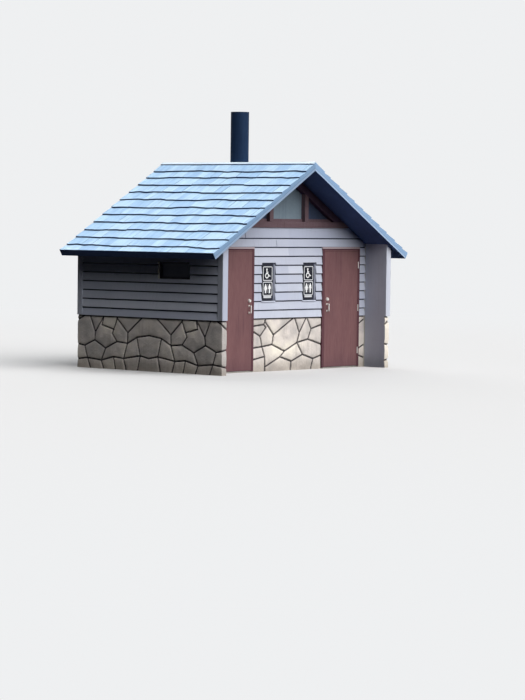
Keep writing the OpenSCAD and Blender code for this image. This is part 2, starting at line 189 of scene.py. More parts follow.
backdrop_colour = (0.86, 0.87, 0.88, 1)
sky_light = 0.005
world = bpy.data.worlds.new("studio")
bpy.context.scene.world = world
world.use_nodes = True
sky = world.node_tree
sky.nodes.clear()
soft_light = add(sky, "ShaderNodeBackground", {"Color": (0.75, 0.86, 1.0, 1), "Strength": sky_light})
seen_sky = add(sky, "ShaderNodeBackground", {"Color": backdrop_colour, "Strength": 1.0})
choose = add(sky, "ShaderNodeMixShader",
             {0: seen_or_mirrored(sky), 1: soft_light.outputs[0], 2: seen_sky.outputs[0]})
add(sky, "ShaderNodeOutputWorld", {"Surface": choose.outputs[0]})
print("soft light of the sky:", sky_light)


# %% [markdown]
# The floor is one large pale sheet. Further than some metres from the hut its colour fades into the colour
# of the background, so no horizon shows. It throws back less light than it seems to, as a dull ground
# would, or the wall in shade would look lit from below.

# %% Floor
floor_reach = 150.0
fade_from = 6.0
fade_to = 30.0
floor_mesh = bpy.data.meshes.new("studio_floor")
corners = [(x * floor_reach, y * floor_reach, 0) for x, y in ((-1, -1), (1, -1), (1, 1), (-1, 1))]
floor_mesh.from_pydata(corners, [], [(0, 1, 2, 3)])
floor = bpy.data.objects.new("studio_floor", floor_mesh)
bpy.context.scene.collection.objects.link(floor)

floor_paint = bpy.data.materials.new("studio_floor_paint")
floor_paint.use_nodes = True
tree = floor_paint.node_tree
tree.nodes.clear()
spot = add(tree, "ShaderNodeTexCoord").outputs["Object"]
away = add(tree, "ShaderNodeVectorMath", {0: spot}, operation="LENGTH").outputs["Value"]
fade = spread(tree, away, fade_from, fade_to)
pale = add(tree, "ShaderNodeBsdfDiffuse", {"Color": (0.62, 0.62, 0.62, 1)}).outputs[0]
dull = add(tree, "ShaderNodeBsdfDiffuse", {"Color": (0.01, 0.01, 0.01, 1)}).outputs[0]
glow = add(tree, "ShaderNodeEmission", {"Color": backdrop_colour}).outputs[0]
near_or_far = add(tree, "ShaderNodeMixShader", {0: fade, 1: pale, 2: glow}).outputs[0]
seen_floor = add(tree, "ShaderNodeMixShader", {0: seen_or_mirrored(tree), 1: dull, 2: near_or_far})
add(tree, "ShaderNodeOutputMaterial", {"Surface": seen_floor.outputs[0]})
floor_mesh.materials.append(floor_paint)
print("floor reaches", floor_reach, "m each way")


# %% [markdown]
# The hut's main sizes are read from the frame, so the looks follow the model. Only the mould's own sizes
# are given here: boards 152.4 mm high, counted up from a line 1041 mm over the ground, a stone band 907 mm
# high, and smooth borders 114 mm wide.

# %% Sizes from the frame
half_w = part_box("right_side_wall")[1].x
inner_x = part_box("right_side_wall")[0].x
front_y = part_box("left_side_wall")[0].y
rear_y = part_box("left_side_wall")[1].y
door_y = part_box("front_header")[0].y
wall_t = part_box("front_header")[1].y - door_y
pier_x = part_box("front_pier")[1].x
frame_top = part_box("front_header")[0].z
beam_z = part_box("gable_beam")[0].z
hut_d = rear_y - front_y
wall_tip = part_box("rear_wall")[1].z
wall_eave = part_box("right_side_wall")[1].z
slope = (wall_tip - wall_eave) / inner_x
pitch = math.atan(slope)

exposure = 0.1524
first_line = 1.041
stone_top = 0.907
border = 0.114


def wall_top(x):
    """Height of the walls' top line at a distance x from the middle: it falls evenly from the ridge."""
    return wall_tip - np.abs(x) * slope


print("hut", round(2 * half_w, 3), "x", round(hut_d, 3), "m")
print("roof pitch", round(math.degrees(pitch), 2), "degrees")


# %% [markdown]
# Every moulded face is made the same way. Its outside is a grid of points worked out from a formula, and
# the rest of the panel is closed with a few large flat faces that share the grid's edge points. A modifier
# that gives thickness would copy the fine grid to the hidden side, and double the panel's weight for
# nothing.

# %% Closed panel from a grid
def closed_panel(name, skin, keep, extra, caps, cap_kinds, skin_kinds=None, tags=None):
    """Mesh object from a grid of points and large faces that close it.

    skin has the shape rows, columns, 3. keep says which cells between the points are faces. extra are more
    points, numbered after the grid's. caps are faces written as lists of point numbers, and cap_kinds their
    materials. skin_kinds is the material of each cell, and tags holds values for the grid's points by label.
    Points that coincide are joined, and a face that loses its area that way is dropped.
    """
    rows, columns = skin.shape[:2]
    points = np.concatenate([skin.reshape(-1, 3), np.asarray(extra, float).reshape(-1, 3)])
    number = np.arange(rows * columns).reshape(rows, columns)
    quads = np.stack([number[:-1, :-1], number[:-1, 1:], number[1:, 1:], number[1:, :-1]], -1)
    quads = quads[keep]
    kinds = np.zeros(keep.shape, int) if skin_kinds is None else skin_kinds
    kinds = kinds[keep]
    rounded = np.round(points * 1e5).astype(np.int64)
    _, first, same = np.unique(rounded, axis=0, return_index=True, return_inverse=True)
    same = same.reshape(-1)
    quads = same[quads]
    doubled = (quads == np.roll(quads, -1, axis=1)).sum(axis=1)
    faces = quads[doubled == 0].tolist()
    face_kinds = kinds[doubled == 0].tolist()
    for corners, kind in zip(quads[doubled == 1].tolist(), kinds[doubled == 1].tolist()):
        faces.append(list(dict.fromkeys(corners)))
        face_kinds.append(kind)
    for cap, kind in zip(caps, cap_kinds):
        loop = same[np.asarray(cap, int)]
        loop = loop[loop != np.roll(loop, 1)]
        if len(loop) > 2:
            faces.append(loop.tolist())
            face_kinds.append(kind)
    used = np.unique(np.concatenate([np.asarray(f, int) for f in faces]))
    renumber = np.full(len(first), -1)
    renumber[used] = np.arange(len(used))
    faces = [renumber[f].tolist() for f in faces]
    mesh = bpy.data.meshes.new(name)
    mesh.from_pydata(points[first][used].tolist(), [], faces)
    mesh.polygons.foreach_set("material_index", face_kinds)
    for label, values in (tags or {}).items():
        layer = mesh.attributes.new(label, "FLOAT", "POINT")
        flat = np.concatenate([values.reshape(-1), np.zeros(len(points) - values.size)])
        layer.data.foreach_set("value", flat[first][used].astype(np.float32))
    piece = bpy.data.objects.new(name, mesh)
    bpy.context.scene.collection.objects.link(piece)
    turn_outwards(piece)
    return piece


def turn_outwards(piece):
    """Turns a closed mesh's faces outwards, and prints how many edges don't join exactly two of them."""
    shape = bmesh.new()
    shape.from_mesh(piece.data)
    bmesh.ops.recalc_face_normals(shape, faces=shape.faces[:])
    loose = sum(1 for e in shape.edges if len(e.link_faces) != 2)
    volume = shape.calc_volume(signed=True)
    if volume < 0:
        bmesh.ops.reverse_faces(shape, faces=shape.faces[:])
    shape.to_mesh(piece.data)
    shape.free()
    print(f"{piece.name}: {len(piece.data.polygons)} faces, {abs(volume):.4f} m3, open edges {loose}")


print("helpers for panels:", [helper.__name__ for helper in (closed_panel, turn_outwards)])


# %% [markdown]
# A grid needs lines where the shape has corners, and even lines between them. Lines that nearly coincide
# would give slivers, so an even line gives way to a corner's line close by. The cells that an opening takes
# away are found by the middle of each cell.

# %% Lines of a grid
def cells_between(lines_u, lines_z, box):
    """True for each cell of the grid whose middle lies in a box (u0, u1, z0, z1)."""
    u = (lines_u[1:] + lines_u[:-1]) / 2
    z = (lines_z[1:] + lines_z[:-1]) / 2
    return np.outer((z > box[2]) & (z < box[3]), (u > box[0]) & (u < box[1]))


def grid_lines(low, high, step, *extra):
    """Even lines about a step apart from low to high, with more lines where the shape needs them."""
    even = np.linspace(low, high, max(2, round((high - low) / step) + 1))
    more = [v for v in np.concatenate([np.atleast_1d(e) for e in extra]) if low < v < high] if extra else []
    clear = [v for v in even if all(abs(v - m) > step * 0.3 for m in more) or v in (even[0], even[-1])]
    return np.unique(np.round(np.concatenate([clear, more]), 6))


print("lines from 0 to 1 with a corner at 0.3:", grid_lines(0, 1, 0.25, [0.3]).tolist())


# %% [markdown]
# A mould is never quite even, so the faces need some wander. Random heights on a lattice, blended smoothly,
# give a field that is the same each time the script runs, because each one starts from its own seed.

# %% Smooth random field
def wander(u, v, cell, seed):
    """Random values from -1 to 1 on a square lattice of that cell size, blended between its corners.

    The share of the next corner is 3t^2 - 2t^3, where t goes from 0 to 1 across a cell.
    """
    lattice = np.random.default_rng(seed).uniform(-1, 1, (64, 64))
    a, b = u / cell, v / cell
    i, j = np.floor(a).astype(int), np.floor(b).astype(int)
    s, t = a - i, b - j
    s, t = s * s * (3 - 2 * s), t * t * (3 - 2 * t)
    low = lattice[i % 64, j % 64] * (1 - s) + lattice[(i + 1) % 64, j % 64] * s
    high = lattice[i % 64, (j + 1) % 64] * (1 - s) + lattice[(i + 1) % 64, (j + 1) % 64] * s
    return low * (1 - t) + high * t


def ease(value, low, high):
    """0 below low, 1 above high, and 3t^2 - 2t^3 between."""
    t = np.clip((value - low) / (high - low), 0, 1)
    return t * t * (3 - 2 * t)


print("a sample of the field:", np.round(wander(np.arange(4) * 0.1, np.zeros(4), 0.25, 1), 3))


# %% [markdown]
# The lap boards are a saw-tooth in section. Each board's lower edge stands flush with the panel's smooth
# border, its face leans back by 19 mm towards the top, and a narrow groove under the next board gives the
# dark line that shows from afar, which is also painted dark as painted shade. The rows of the grid are put
# exactly at the corners of this profile, so few rows are needed. Two more rows carry the paint: one near the
# middle of each board, and one where the painted shade beside the next groove begins.

# %% Lap boards
board_lean = 0.019
groove_depth = 0.027
shade_low = 0.009
mid_board = 0.06
shade_high = 0.133
profile_z = np.array([0.0, 0.0040, 0.0050, 0.0090, 0.0150, 0.1390, 0.1410, exposure])
profile_d = np.array([groove_depth, groove_depth, 0.0040, 0.0012, 0.0006, board_lean, groove_depth,
                      groove_depth])


def board_rows(low, high):
    """Heights of every row that the boards between two heights need: profile corners and paint rows."""
    count = int((high - first_line) / exposure) + 2
    lines = first_line + exposure * np.arange(-1, count + 1)
    rows = (lines[:, None] + profile_z[None, :-1]).reshape(-1)
    rows = np.concatenate([rows, lines + mid_board, lines + shade_high])
    return np.unique(np.round(rows[(rows > low + 0.002) & (rows < high - 0.002)], 6))


def board_depth(z):
    """How far the boards' face lies behind the panel's plane: the profile, repeated every exposure."""
    return np.interp((z - first_line) % exposure, profile_z, profile_d)


def board_number(z):
    """Which board a height belongs to."""
    return np.floor((z - first_line) / exposure)


print("board profile, mm:", np.round(board_depth(first_line + profile_z) * 1000, 1))


# %% [markdown]
# The stones are one mould as well. What the eye sees is the net of joints, so the net is drawn as lines
# between listed corners, and a point's height follows from its distance to the nearest line: deep and
# flat within the joint, then a pillow that rises towards the middle of the stone. A cell pattern would give
# evenly sized cells, and these stones are large, with long slanting joints that meet in points.

# %% Stone joints
joint_half = 0.013
joint_deep = 0.036
stone_edge = 0.023
pillow_high = 0.007
pillow_reach = 0.045
side_joints = [
    ((-0.125, 0.765), (0.185, 0.907)), ((0.285, 0.907), (0.415, 0.620)), ((0.620, 0.907), (0.415, 0.620)),
    ((0.610, 0.875), (0.575, 0.745)), ((0.575, 0.745), (0.860, 0.675)), ((0.933, 0.907), (0.933, 0.865)),
    ((0.933, 0.865), (0.820, 0.605)), ((0.933, 0.865), (1.185, 0.632)), ((1.530, 0.907), (1.185, 0.632)),
    ((0.415, 0.620), (0.400, 0.480)), ((0.820, 0.605), (0.930, 0.470)), ((1.185, 0.632), (1.180, 0.450)),
    ((-0.125, 0.420), (0.160, 0.380)), ((0.160, 0.380), (0.400, 0.480)), ((0.400, 0.480), (0.660, 0.350)),
    ((0.660, 0.350), (0.930, 0.470)), ((0.930, 0.470), (1.180, 0.450)), ((1.180, 0.450), (1.400, 0.560)),
    ((1.400, 0.560), (1.685, 0.600)), ((0.160, 0.380), (0.230, 0.170)), ((0.230, 0.170), (-0.125, 0.130)),
    ((0.230, 0.170), (0.300, 0.0)), ((0.660, 0.350), (0.560, 0.140)), ((0.560, 0.140), (0.230, 0.170)),
    ((0.560, 0.140), (0.620, 0.0)), ((0.560, 0.140), (0.850, 0.210)), ((0.850, 0.210), (1.090, 0.190)),
    ((0.850, 0.210), (0.900, 0.0)), ((1.180, 0.450), (1.090, 0.190)), ((1.090, 0.190), (1.150, 0.0)),
    ((1.400, 0.560), (1.480, 0.250)), ((1.480, 0.250), (1.090, 0.190)), ((1.480, 0.250), (1.685, 0.210)),
    ((1.480, 0.250), (1.420, 0.0)),
]
pier_joints = [
    ((-0.536, 0.907), (-0.600, 0.795)), ((-0.600, 0.795), (-0.895, 0.770)),
    ((-0.580, 0.860), (-0.350, 0.615)), ((0.200, 0.907), (-0.350, 0.615)),
    ((-0.600, 0.795), (-0.548, 0.745)), ((-0.548, 0.745), (-0.690, 0.600)),
    ((-0.895, 0.690), (-0.690, 0.600)), ((-0.690, 0.600), (-0.640, 0.420)),
    ((-0.350, 0.615), (-0.380, 0.450)), ((0.200, 0.907), (0.330, 0.640)), ((0.520, 0.907), (0.330, 0.640)),
    ((0.520, 0.907), (0.640, 0.700)), ((0.640, 0.700), (0.895, 0.760)), ((0.640, 0.700), (0.560, 0.520)),
    ((0.330, 0.640), (0.270, 0.470)), ((-0.895, 0.400), (-0.640, 0.420)),
    ((-0.640, 0.420), (-0.380, 0.450)), ((-0.380, 0.450), (-0.060, 0.330)),
    ((-0.060, 0.330), (0.270, 0.470)), ((0.270, 0.470), (0.560, 0.520)), ((0.560, 0.520), (0.895, 0.430)),
    ((-0.640, 0.420), (-0.567, 0.250)), ((-0.567, 0.250), (-0.567, 0.0)),
    ((-0.171, 0.235), (-0.567, 0.070)), ((-0.171, 0.235), (-0.060, 0.330)),
    ((-0.567, 0.250), (-0.895, 0.200)), ((-0.171, 0.235), (0.120, 0.150)), ((0.120, 0.150), (0.100, 0.0)),
    ((0.120, 0.150), (0.420, 0.260)), ((0.420, 0.260), (0.270, 0.470)), ((0.420, 0.260), (0.700, 0.180)),
    ((0.700, 0.180), (0.895, 0.230)), ((0.700, 0.180), (0.640, 0.0)),
]
print("joints drawn:", len(side_joints), "for the side walls,", len(pier_joints), "for the pier")


def distance_to(u, z, joints):
    """Shortest distance from each point to a set of lines: to its foot on a line, held between the ends."""
    nearest = np.full(u.shape, np.inf)
    for (u0, z0), (u1, z1) in joints:
        du, dz = u1 - u0, z1 - z0
        along = np.clip(((u - u0) * du + (z - z0) * dz) / (du * du + dz * dz), 0, 1)
        nearest = np.minimum(nearest, np.hypot(u - u0 - along * du, z - z0 - along * dz))
    return nearest


def stones(u, z, joints, seed):
    """Depth, joint mask and tone of the stone band.

    Outside a joint the depth is that of a stone's edge, plus a slow tilt and a fine grain, less a pillow of
    pillow_high times 1 - exp(-distance / pillow_reach). The joint's flanks are eased over 11 mm.
    """
    # A joint runs along the stones' whole top edge; its dark is partly painted shadow under the lowest
    # board.
    off = np.minimum(distance_to(u, z, joints), np.abs(z - stone_top + joint_half))
    inside = 1 - ease(off, joint_half - 0.005, joint_half + 0.006)
    pillow = pillow_high * (1 - np.exp(-np.maximum(off - joint_half, 0) / pillow_reach))
    tilt = 0.004 * wander(u, z, 0.31, seed) + 0.0022 * wander(u, z, 0.075, seed + 1)
    grain = 0.0013 * wander(u, z, 0.024, seed + 2)
    face = stone_edge - pillow + tilt + grain
    depth = face * (1 - inside) + joint_deep * inside
    tone = np.clip(0.75 * wander(u, z, 0.37, seed + 3) + 0.35 * wander(u, z, 0.11, seed + 4), -1, 1)
    return np.clip(depth, 0.006, joint_deep), inside, tone


# %% [markdown]
# A wall joins the two: stones below, boards above, and smooth borders. The same formula also says how
# dark each point is painted, with painted shade in the boards' grooves (and beside them on the side walls)
# and the stones' dark joints, and whether its paint leans paler or darker, so that a finish can follow the
# relief. Each board keeps one tone over 2.4 m, as boards do that are painted one by one.

# %% Relief of a wall
WALL_SKIN = 0
STONE_SKIN = 1
WALL_BACK = 2
row_step = 0.0105
column_step = 0.0125
board_length = 2.4


def wall_rows(high, *extra):
    """Rows for a moulded wall: even ones through the stones, then the corners of the board profile."""
    low_part = grid_lines(0, stone_top - 0.006, row_step)
    edge = [stone_top - 0.0045, stone_top - 0.0005, stone_top + 0.004]
    rows = np.concatenate([low_part, edge, board_rows(stone_top + 0.006, high), [high], *extra])
    return np.unique(np.round(rows[rows <= high + 1e-9], 6))


def moulded_depth(u, z, joints, smooth, seed, last_groove=math.inf, groove_painted_shade=0.0):
    """Depth, groove mask and tone of a moulded wall: stones below, boards above, and smooth where said.

    Over the height last_groove the top board runs on without another groove. The groove mask is painted
    shade in the boards' grooves and the stones' dark joints. The last argument is how much painted shade the
    boards get right beside each groove, on a wall that little light reaches.
    """
    stone_d, joint, stone_tone = stones(u, z, joints, seed)
    board_d = board_depth(np.minimum(z, last_groove))
    board_wear = 0.0006 * wander(u, z, 0.35, seed + 7)
    phase = (z - first_line) % exposure
    # Painted shade: the grooves are painted dark, and the boards just beside them darker too.
    beside = np.maximum(1 - ease(phase, 0.004, shade_low), ease(phase, shade_high, 0.139))
    groove = np.maximum(ease(board_d, board_lean + 0.002, groove_depth - 0.001), groove_painted_shade * beside)
    is_stone = z < stone_top - 0.001
    flush = smooth & ~is_stone
    depth = np.where(is_stone, stone_d, np.where(flush, 0.0004, board_d + np.abs(board_wear)))
    shade = np.where(is_stone, joint, np.where(flush, 0.0, groove))
    board_tone = 0.6 * wander(board_number(z) * 7.3, np.floor(u / board_length), 1.0, seed + 8)
    tone = np.where(is_stone, stone_tone, np.where(flush, 0.0, board_tone))
    return depth, shade, tone


def stone_or_board(zs, columns):
    """Material number of each cell: stones below the stones' top, boards above."""
    middle = (zs[1:] + zs[:-1]) / 2
    return np.repeat(np.where(middle < stone_top - 0.001, STONE_SKIN, WALL_SKIN)[:, None], columns, axis=1)


def sided(side, piece):
    """Name of a left or right piece: side is -1 for the left and 1 for the right."""
    return ("left_" if side < 0 else "right_") + piece


print("rows of a 2 m wall:", len(wall_rows(2.0)))


# %% [markdown]
# A side wall is one panel that turns the corner at its front end, so its face is carried along a path in
# plan: the long outside, then the narrow end. Each point moves into the wall by its depth. At the corner
# both directions move in together, which leaves a slightly blunt edge, as on cast concrete. The window is
# left out of the grid, and its four reveals are flat faces between the grid and the inside.

# %% Side walls
# How much painted shade the side walls' boards get beside each groove.
side_groove_painted_shade = 0.75
border_shade = 0.3
# Painted light and shade on the front ends: paler on the right wall, darker on the left.
end_painted_light = 0.8
blunt = 0.003
blunt_reach = 0.004


def side_wall(side, seed):
    """Side wall with its wing. side is -1 for the left and 1 for the right.

    The path runs from the rear over the long outside, u = 0 to hut_d, then over the front end and a finger's
    width round the corner along the inner face, where the paint of the joints ends. Boards end a border's
    width before both ends, and the front border is a little darker. The front end is painted paler on the
    right wall and darker on the left, as painted light and shade. The top row rises with the roof wherever a
    point lies.
    """
    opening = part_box("left_window_frame")
    w0, w1 = rear_y - opening[1].y, rear_y - opening[0].y
    z0, z1 = opening[0].z, opening[1].z
    end_u = hut_d + wall_t
    us = grid_lines(0, hut_d, column_step, [
        border - 0.001, border + 0.001, hut_d - border - 0.001, hut_d - border + 0.001, w0, w1,
        hut_d - 0.006, hut_d - 0.0015])
    us = np.concatenate([us, hut_d + np.array([0.0015, 0.006]), np.linspace(hut_d + 0.018, end_u, 9),
                         end_u + np.array([0.004, 0.012])])
    zs = wall_rows(float(wall_top(half_w)), [z0, z1])
    u, z = np.meshgrid(us, zs)
    from_front = hut_d - u
    folded = np.where(from_front > hut_d / 2, hut_d - from_front, from_front)
    smooth = (from_front < border) | (u < border)
    depth, shade, tone = moulded_depth(folded, z, side_joints, smooth, seed, groove_painted_shade=side_groove_painted_shade)
    depth = depth + blunt * np.exp(-np.abs(from_front) / blunt_reach)
    corner = depth[:, [np.argmin(np.abs(us - hut_d))]]
    on_side = u <= hut_d
    past = np.maximum(u - end_u, 0)
    last_depth = depth[:, [np.argmin(np.abs(us - end_u))]]
    depth = np.where(past > 0, last_depth, depth)
    plain = (past > 0) | (u < 1e-6)
    on_border = (from_front > 0.001) & (from_front < border) & (z > stone_top)
    shade = np.where(plain, 0.0, np.where(on_border, border_shade, shade))
    tone = np.where(plain, 0.0, np.where(on_side, tone, end_painted_light * side))
    across = (np.minimum(u, end_u) - hut_d) / wall_t
    x = np.where(on_side, half_w - depth, half_w - corner - across * (wall_t - corner))
    y = np.where(on_side, rear_y - u + corner * ease(u, hut_d - 0.05, hut_d), front_y + depth + past)
    z = np.where(z > zs[-2], wall_top(x), z)
    skin = np.stack([side * x, y, z], -1)
    keep = ~cells_between(us, zs, (w0, w1, z0, z1))
    rows, columns = u.shape
    n = np.arange(rows * columns).reshape(rows, columns)
    c0, c1 = np.searchsorted(us, w0 - 1e-6), np.searchsorted(us, w1 - 1e-6)
    r0, r1 = np.searchsorted(zs, z0 - 1e-6), np.searchsorted(zs, z1 - 1e-6)
    skin[r0:r1 + 1, [c0, c1], 1] = [rear_y - w0, rear_y - w1]
    skin[[r0, r1], c0:c1 + 1, 2] = [[z0], [z1]]
    back = side * inner_x
    inner_top = float(wall_top(inner_x))
    extra = [
        (back, rear_y, 0), (back, rear_y, inner_top), (back, door_y, 0), (back, door_y, inner_top),
        (back, rear_y - w0, z0), (back, rear_y - w1, z0), (back, rear_y - w1, z1), (back, rear_y - w0, z1),
        (back, rear_y, stone_top),
    ]
    rear_low, rear_high, door_low, door_high, h0, h1, h2, h3, rear_mid = n.size + np.arange(9)
    stone_row = int(np.argmin(np.abs(zs - stone_top + 0.0005)))
    caps = [
        np.r_[n[0, :], door_low, rear_low], np.r_[n[-1, :], door_high, rear_high],
        np.r_[n[stone_row:, 0], rear_high, rear_mid], np.r_[n[:stone_row + 1, 0], rear_mid, rear_low],
        np.r_[n[r0, c0:c1 + 1], h1, h0], np.r_[n[r0:r1 + 1, c1], h2, h1],
        np.r_[n[r1, c0:c1 + 1], h2, h3], np.r_[n[r0:r1 + 1, c0], h3, h0],
        np.r_[rear_low, door_low, h1, h0], np.r_[door_low, door_high, h2, h1],
        np.r_[door_high, rear_high, h3, h2], np.r_[rear_high, rear_mid, rear_low, h0, h3],
        np.r_[n[:, -1], door_high, door_low],
    ]
    cap_kinds = [WALL_BACK] * 2 + [WALL_SKIN, STONE_SKIN] + [WALL_BACK] * 8 + [WALL_SKIN]
    kinds = stone_or_board(zs, columns - 1)
    kinds[:, -2:] = WALL_SKIN
    return closed_panel(sided(side, "side_wall_face"), skin, keep, extra, caps, cap_kinds, kinds,
                        {"groove": shade, "tone": tone})


walls = {sided(side, "side_wall"): side_wall(side, 20) for side in (-1, 1)}


# %% [markdown]
# The other walls run across the hut. Their upper edges are level, slanted or bent, and the signs hang in
# smooth pockets, which are painted darker as painted shade beside the board, under the pocket's top and at
# its foot. Between two lengths of board there can be a thin upright joint.

# %% Pockets round the signs
pocket_left = 0.004
pocket_right = 0.082
pocket_low = 0.014
pocket_top = 0.007
pocket_in = 0.025
pocket_sill = 0.017


def sign_pocket(side):
    """Pocket round a sign board, as (x0, x1, z0, z1, depth). The board hangs at its left edge."""
    low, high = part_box(sided(side, "sign_board"))
    return low.x - pocket_left, high.x + pocket_right, low.z - pocket_low, high.z + pocket_top, pocket_in


def pocket_painted_shade(u, z, pocket):
    """Painted shade in a pocket: a third all over, more within 5 cm of the board, most at its top and foot.
    """
    _, x1, z0, z1, _ = pocket
    beside = 1 - ease(u - x1 + pocket_right, 0.050, 0.062)
    at_top = 1 - ease(z1 - z, 0.022, 0.036)
    at_foot = 1 - ease(z - z0, 0.008, 0.016)
    at_side = 1 - ease(x1 - u, 0.001, 0.004)
    return np.maximum.reduce([0.34 + 0.56 * beside, at_top, at_foot, 0.8 * at_side])


pockets = [sign_pocket(side) for side in (-1, 1)]
print("pockets:", np.round(pockets, 3).tolist())


# %% [markdown]
# A slanted edge over a grid could be cut with a boolean, but that leaves long thin faces. Here a column
# stands wherever the edge crosses a row, and the points over the edge are brought down to it, so the grid
# itself ends in the slant and the surplus cells close up. A wall that rises to the ridge is large, so its
# columns stand a little further apart.

# %% Walls across the hut
butt_half = 0.004
coarse_step = 0.016


def flat_wall(name, span, outer_y, inner_y, joints, seed, top, bends=(), pockets=(), butts=(),
              last_groove=math.inf, paler=0.0, fold=False):
    """Wall across the hut, moulded on the side of outer_y, with its back at inner_y. span is (x0, x1, low).

    top gives the height of its upper edge, a line that bends at the places in bends. A pocket (x0, x1, z0,
    z1, depth) is smooth and steps straight in over a sloping sill. A butt (x, z0, z1, share) is a thin
    upright joint between two lengths of board, and share says how open it is. paler moves the boards' tone,
    which lies between -1 and 1. fold repeats the joints, each time mirrored.
    """
    x0, x1, low = span
    inward = 1 if inner_y > outer_y else -1
    knees = [x0, *bends, x1]
    knee_z = [float(top(np.array(v))) for v in knees]
    peak, eave = max(knee_z), min(knee_z)
    hair = 0.0008
    steps = [v + s for p in pockets for v in p[:2] for s in (-hair, hair)]
    levels = [v + s for p in pockets for v in (p[2] - pocket_sill, *p[2:4]) for s in (-hair, hair)]
    if low < stone_top:
        zs = wall_rows(peak, np.array(levels))
    else:
        zs = np.unique(np.round(np.r_[low, board_rows(low, peak), peak], 6))
    crossings = [s * (wall_tip - v) / slope for v in zs if eave < v < peak for s in (-1, 1)]
    seams = [butt[0] + s * butt_half for butt in butts for s in (-2, -1, 1, 2)]
    step = column_step if peak - eave < 1 else coarse_step
    us = grid_lines(x0, x1, step, steps, crossings, seams, list(bends))
    u, z = np.meshgrid(us, zs)
    along = np.abs((u + half_w + hut_d / 2) % hut_d - hut_d / 2) if fold else u
    no_border = np.zeros(u.shape, bool)
    depth, shade, tone = moulded_depth(along, z, joints, no_border, seed, last_groove)
    tone = np.where(z < stone_top, tone, np.clip(tone + paler, -1, 1))
    for x, z_low, z_high, share in butts:
        split = (1 - ease(np.abs(u - x), 1.1 * butt_half, 1.9 * butt_half)) * (z > z_low) * (z < z_high)
        depth = np.maximum(depth, (board_lean + (groove_depth - board_lean) * share) * split)
        shade = np.maximum(shade, share * split)
    for p in pockets:
        between = (u > p[0]) & (u < p[1])
        inside = between & (z > p[2]) & (z < p[3])
        sill = between & (z > p[2] - pocket_sill) & (z <= p[2])
        depth = np.where(inside, p[4], np.where(sill, 0.6 * p[4] * (1 - (p[2] - z) / pocket_sill), depth))
        # Inside a pocket the paint gets painted shade.
        shade = np.where(inside, pocket_painted_shade(u, z, p), np.where(sill, 0.0, shade))
        tone = np.where(inside | sill, 0.0, tone)
    edge = top(u)
    over = z >= edge - 3e-6
    first_over = np.argmax(over, axis=0)
    depth = np.where(over, depth[first_over, np.arange(len(us))][None, :], depth)
    held = np.where(over, edge, z)
    skin = np.stack([u, outer_y + inward * depth, held], -1)
    keep = (held[1:, :-1] > held[:-1, :-1] + 1e-6) | (held[1:, 1:] > held[:-1, 1:] + 1e-6)
    n = np.arange(u.size).reshape(u.shape)
    extra = [(x0, inner_y, low), (x1, inner_y, low)] + [(x, inner_y, h) for x, h in zip(knees, knee_z)]
    a, b = n.size, n.size + 1
    behind = n.size + 2 + np.arange(len(knees))
    at = [int(np.argmin(np.abs(us - x))) for x in knees]
    caps = [np.r_[n[0, :], b, a], np.r_[n[:, -1], behind[-1], b], np.r_[n[:, 0], behind[0], a]]
    for k, (i, j) in enumerate(zip(at[:-1], at[1:])):
        caps.append(np.r_[n[-1, i:j + 1], behind[k + 1], behind[k]])
    caps.append(np.r_[a, b, behind[::-1]])
    return closed_panel(name, skin, keep, extra, caps, [WALL_BACK] * len(caps),
                        stone_or_board(zs, len(us) - 1), {"groove": shade, "tone": tone})


def level_top(height):
    """A wall's upper edge that doesn't slope."""
    return lambda x: np.full(np.shape(x), height)


def header_top(x):
    """The header ends under the gable's beam, and under the roof beside it."""
    return np.minimum(wall_top(x), beam_z)


walls["rear_wall"] = flat_wall("rear_wall_face", (-inner_x, inner_x, 0.0), rear_y, rear_y - wall_t,
                               side_joints, 40, wall_top, [0.0], fold=True)


# %% [markdown]
# The door wall is in four parts, round the two doorways. The narrow strips at its ends take a part of the
# pier's net of joints, shifted sideways to where they stand. The header sits in the roof's shade, and its
# boards' tone is moved darker as painted shade. Two joints between lengths of board show in it, one open
# and one nearly closed. Every wall then rides with the hut's fixed body and stands in for its node.

# %% Door wall
door_back = door_y + wall_t
walls["front_pier"] = flat_wall("front_pier_face", (-pier_x, pier_x, 0.0), door_y, door_back, pier_joints,
                                60, level_top(frame_top), pockets=pockets, paler=-0.1)
for side, node in ((-1, "front_strip_left"), (1, "front_strip_right")):
    low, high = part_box(node)
    shifted = [((u0 + side * 2.0, v0), (u1 + side * 2.0, v1)) for (u0, v0), (u1, v1) in pier_joints]
    walls[node] = flat_wall(node + "_face", (low.x, high.x, 0.0), door_y, door_back, shifted, 80,
                            level_top(frame_top))
beam_bend = (wall_tip - beam_z) / slope
line_7, line_8, line_9 = first_line + exposure * np.array([7, 8, 9])
header_butts = [(-1.118, line_8, beam_z, 1.0), (-0.315, line_7, line_8, 0.2)]
# The header's tone shift of -0.6 is painted shade from the roof above it.
walls["front_header"] = flat_wall("front_header_face", (-inner_x, inner_x, frame_top), door_y, door_back,
                                  pier_joints, 90, header_top, [-beam_bend, beam_bend],
                                  butts=header_butts, last_groove=line_9 - 0.015, paler=-0.6)
for node, piece in walls.items():
    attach(piece, "root")
    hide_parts(node)
print("walls made:", len(walls))


# %% [markdown]
# The roof slabs are moulded as twelve courses of shakes on each side. The model has their steps: a course
# starts 20 mm deep under the one above and rises to its own lower edge, and only the top course is flat, as
# the bed of the ridge cap. What is added here makes it look split by hand and not sawn. The lower edges
# wander, each shake hangs a little lower or higher than its neighbour, and narrow gaps part the shakes. The
# surface is a grid in plan, and its rows move with the lower edges, so the steps stay crisp on a coarse
# grid.

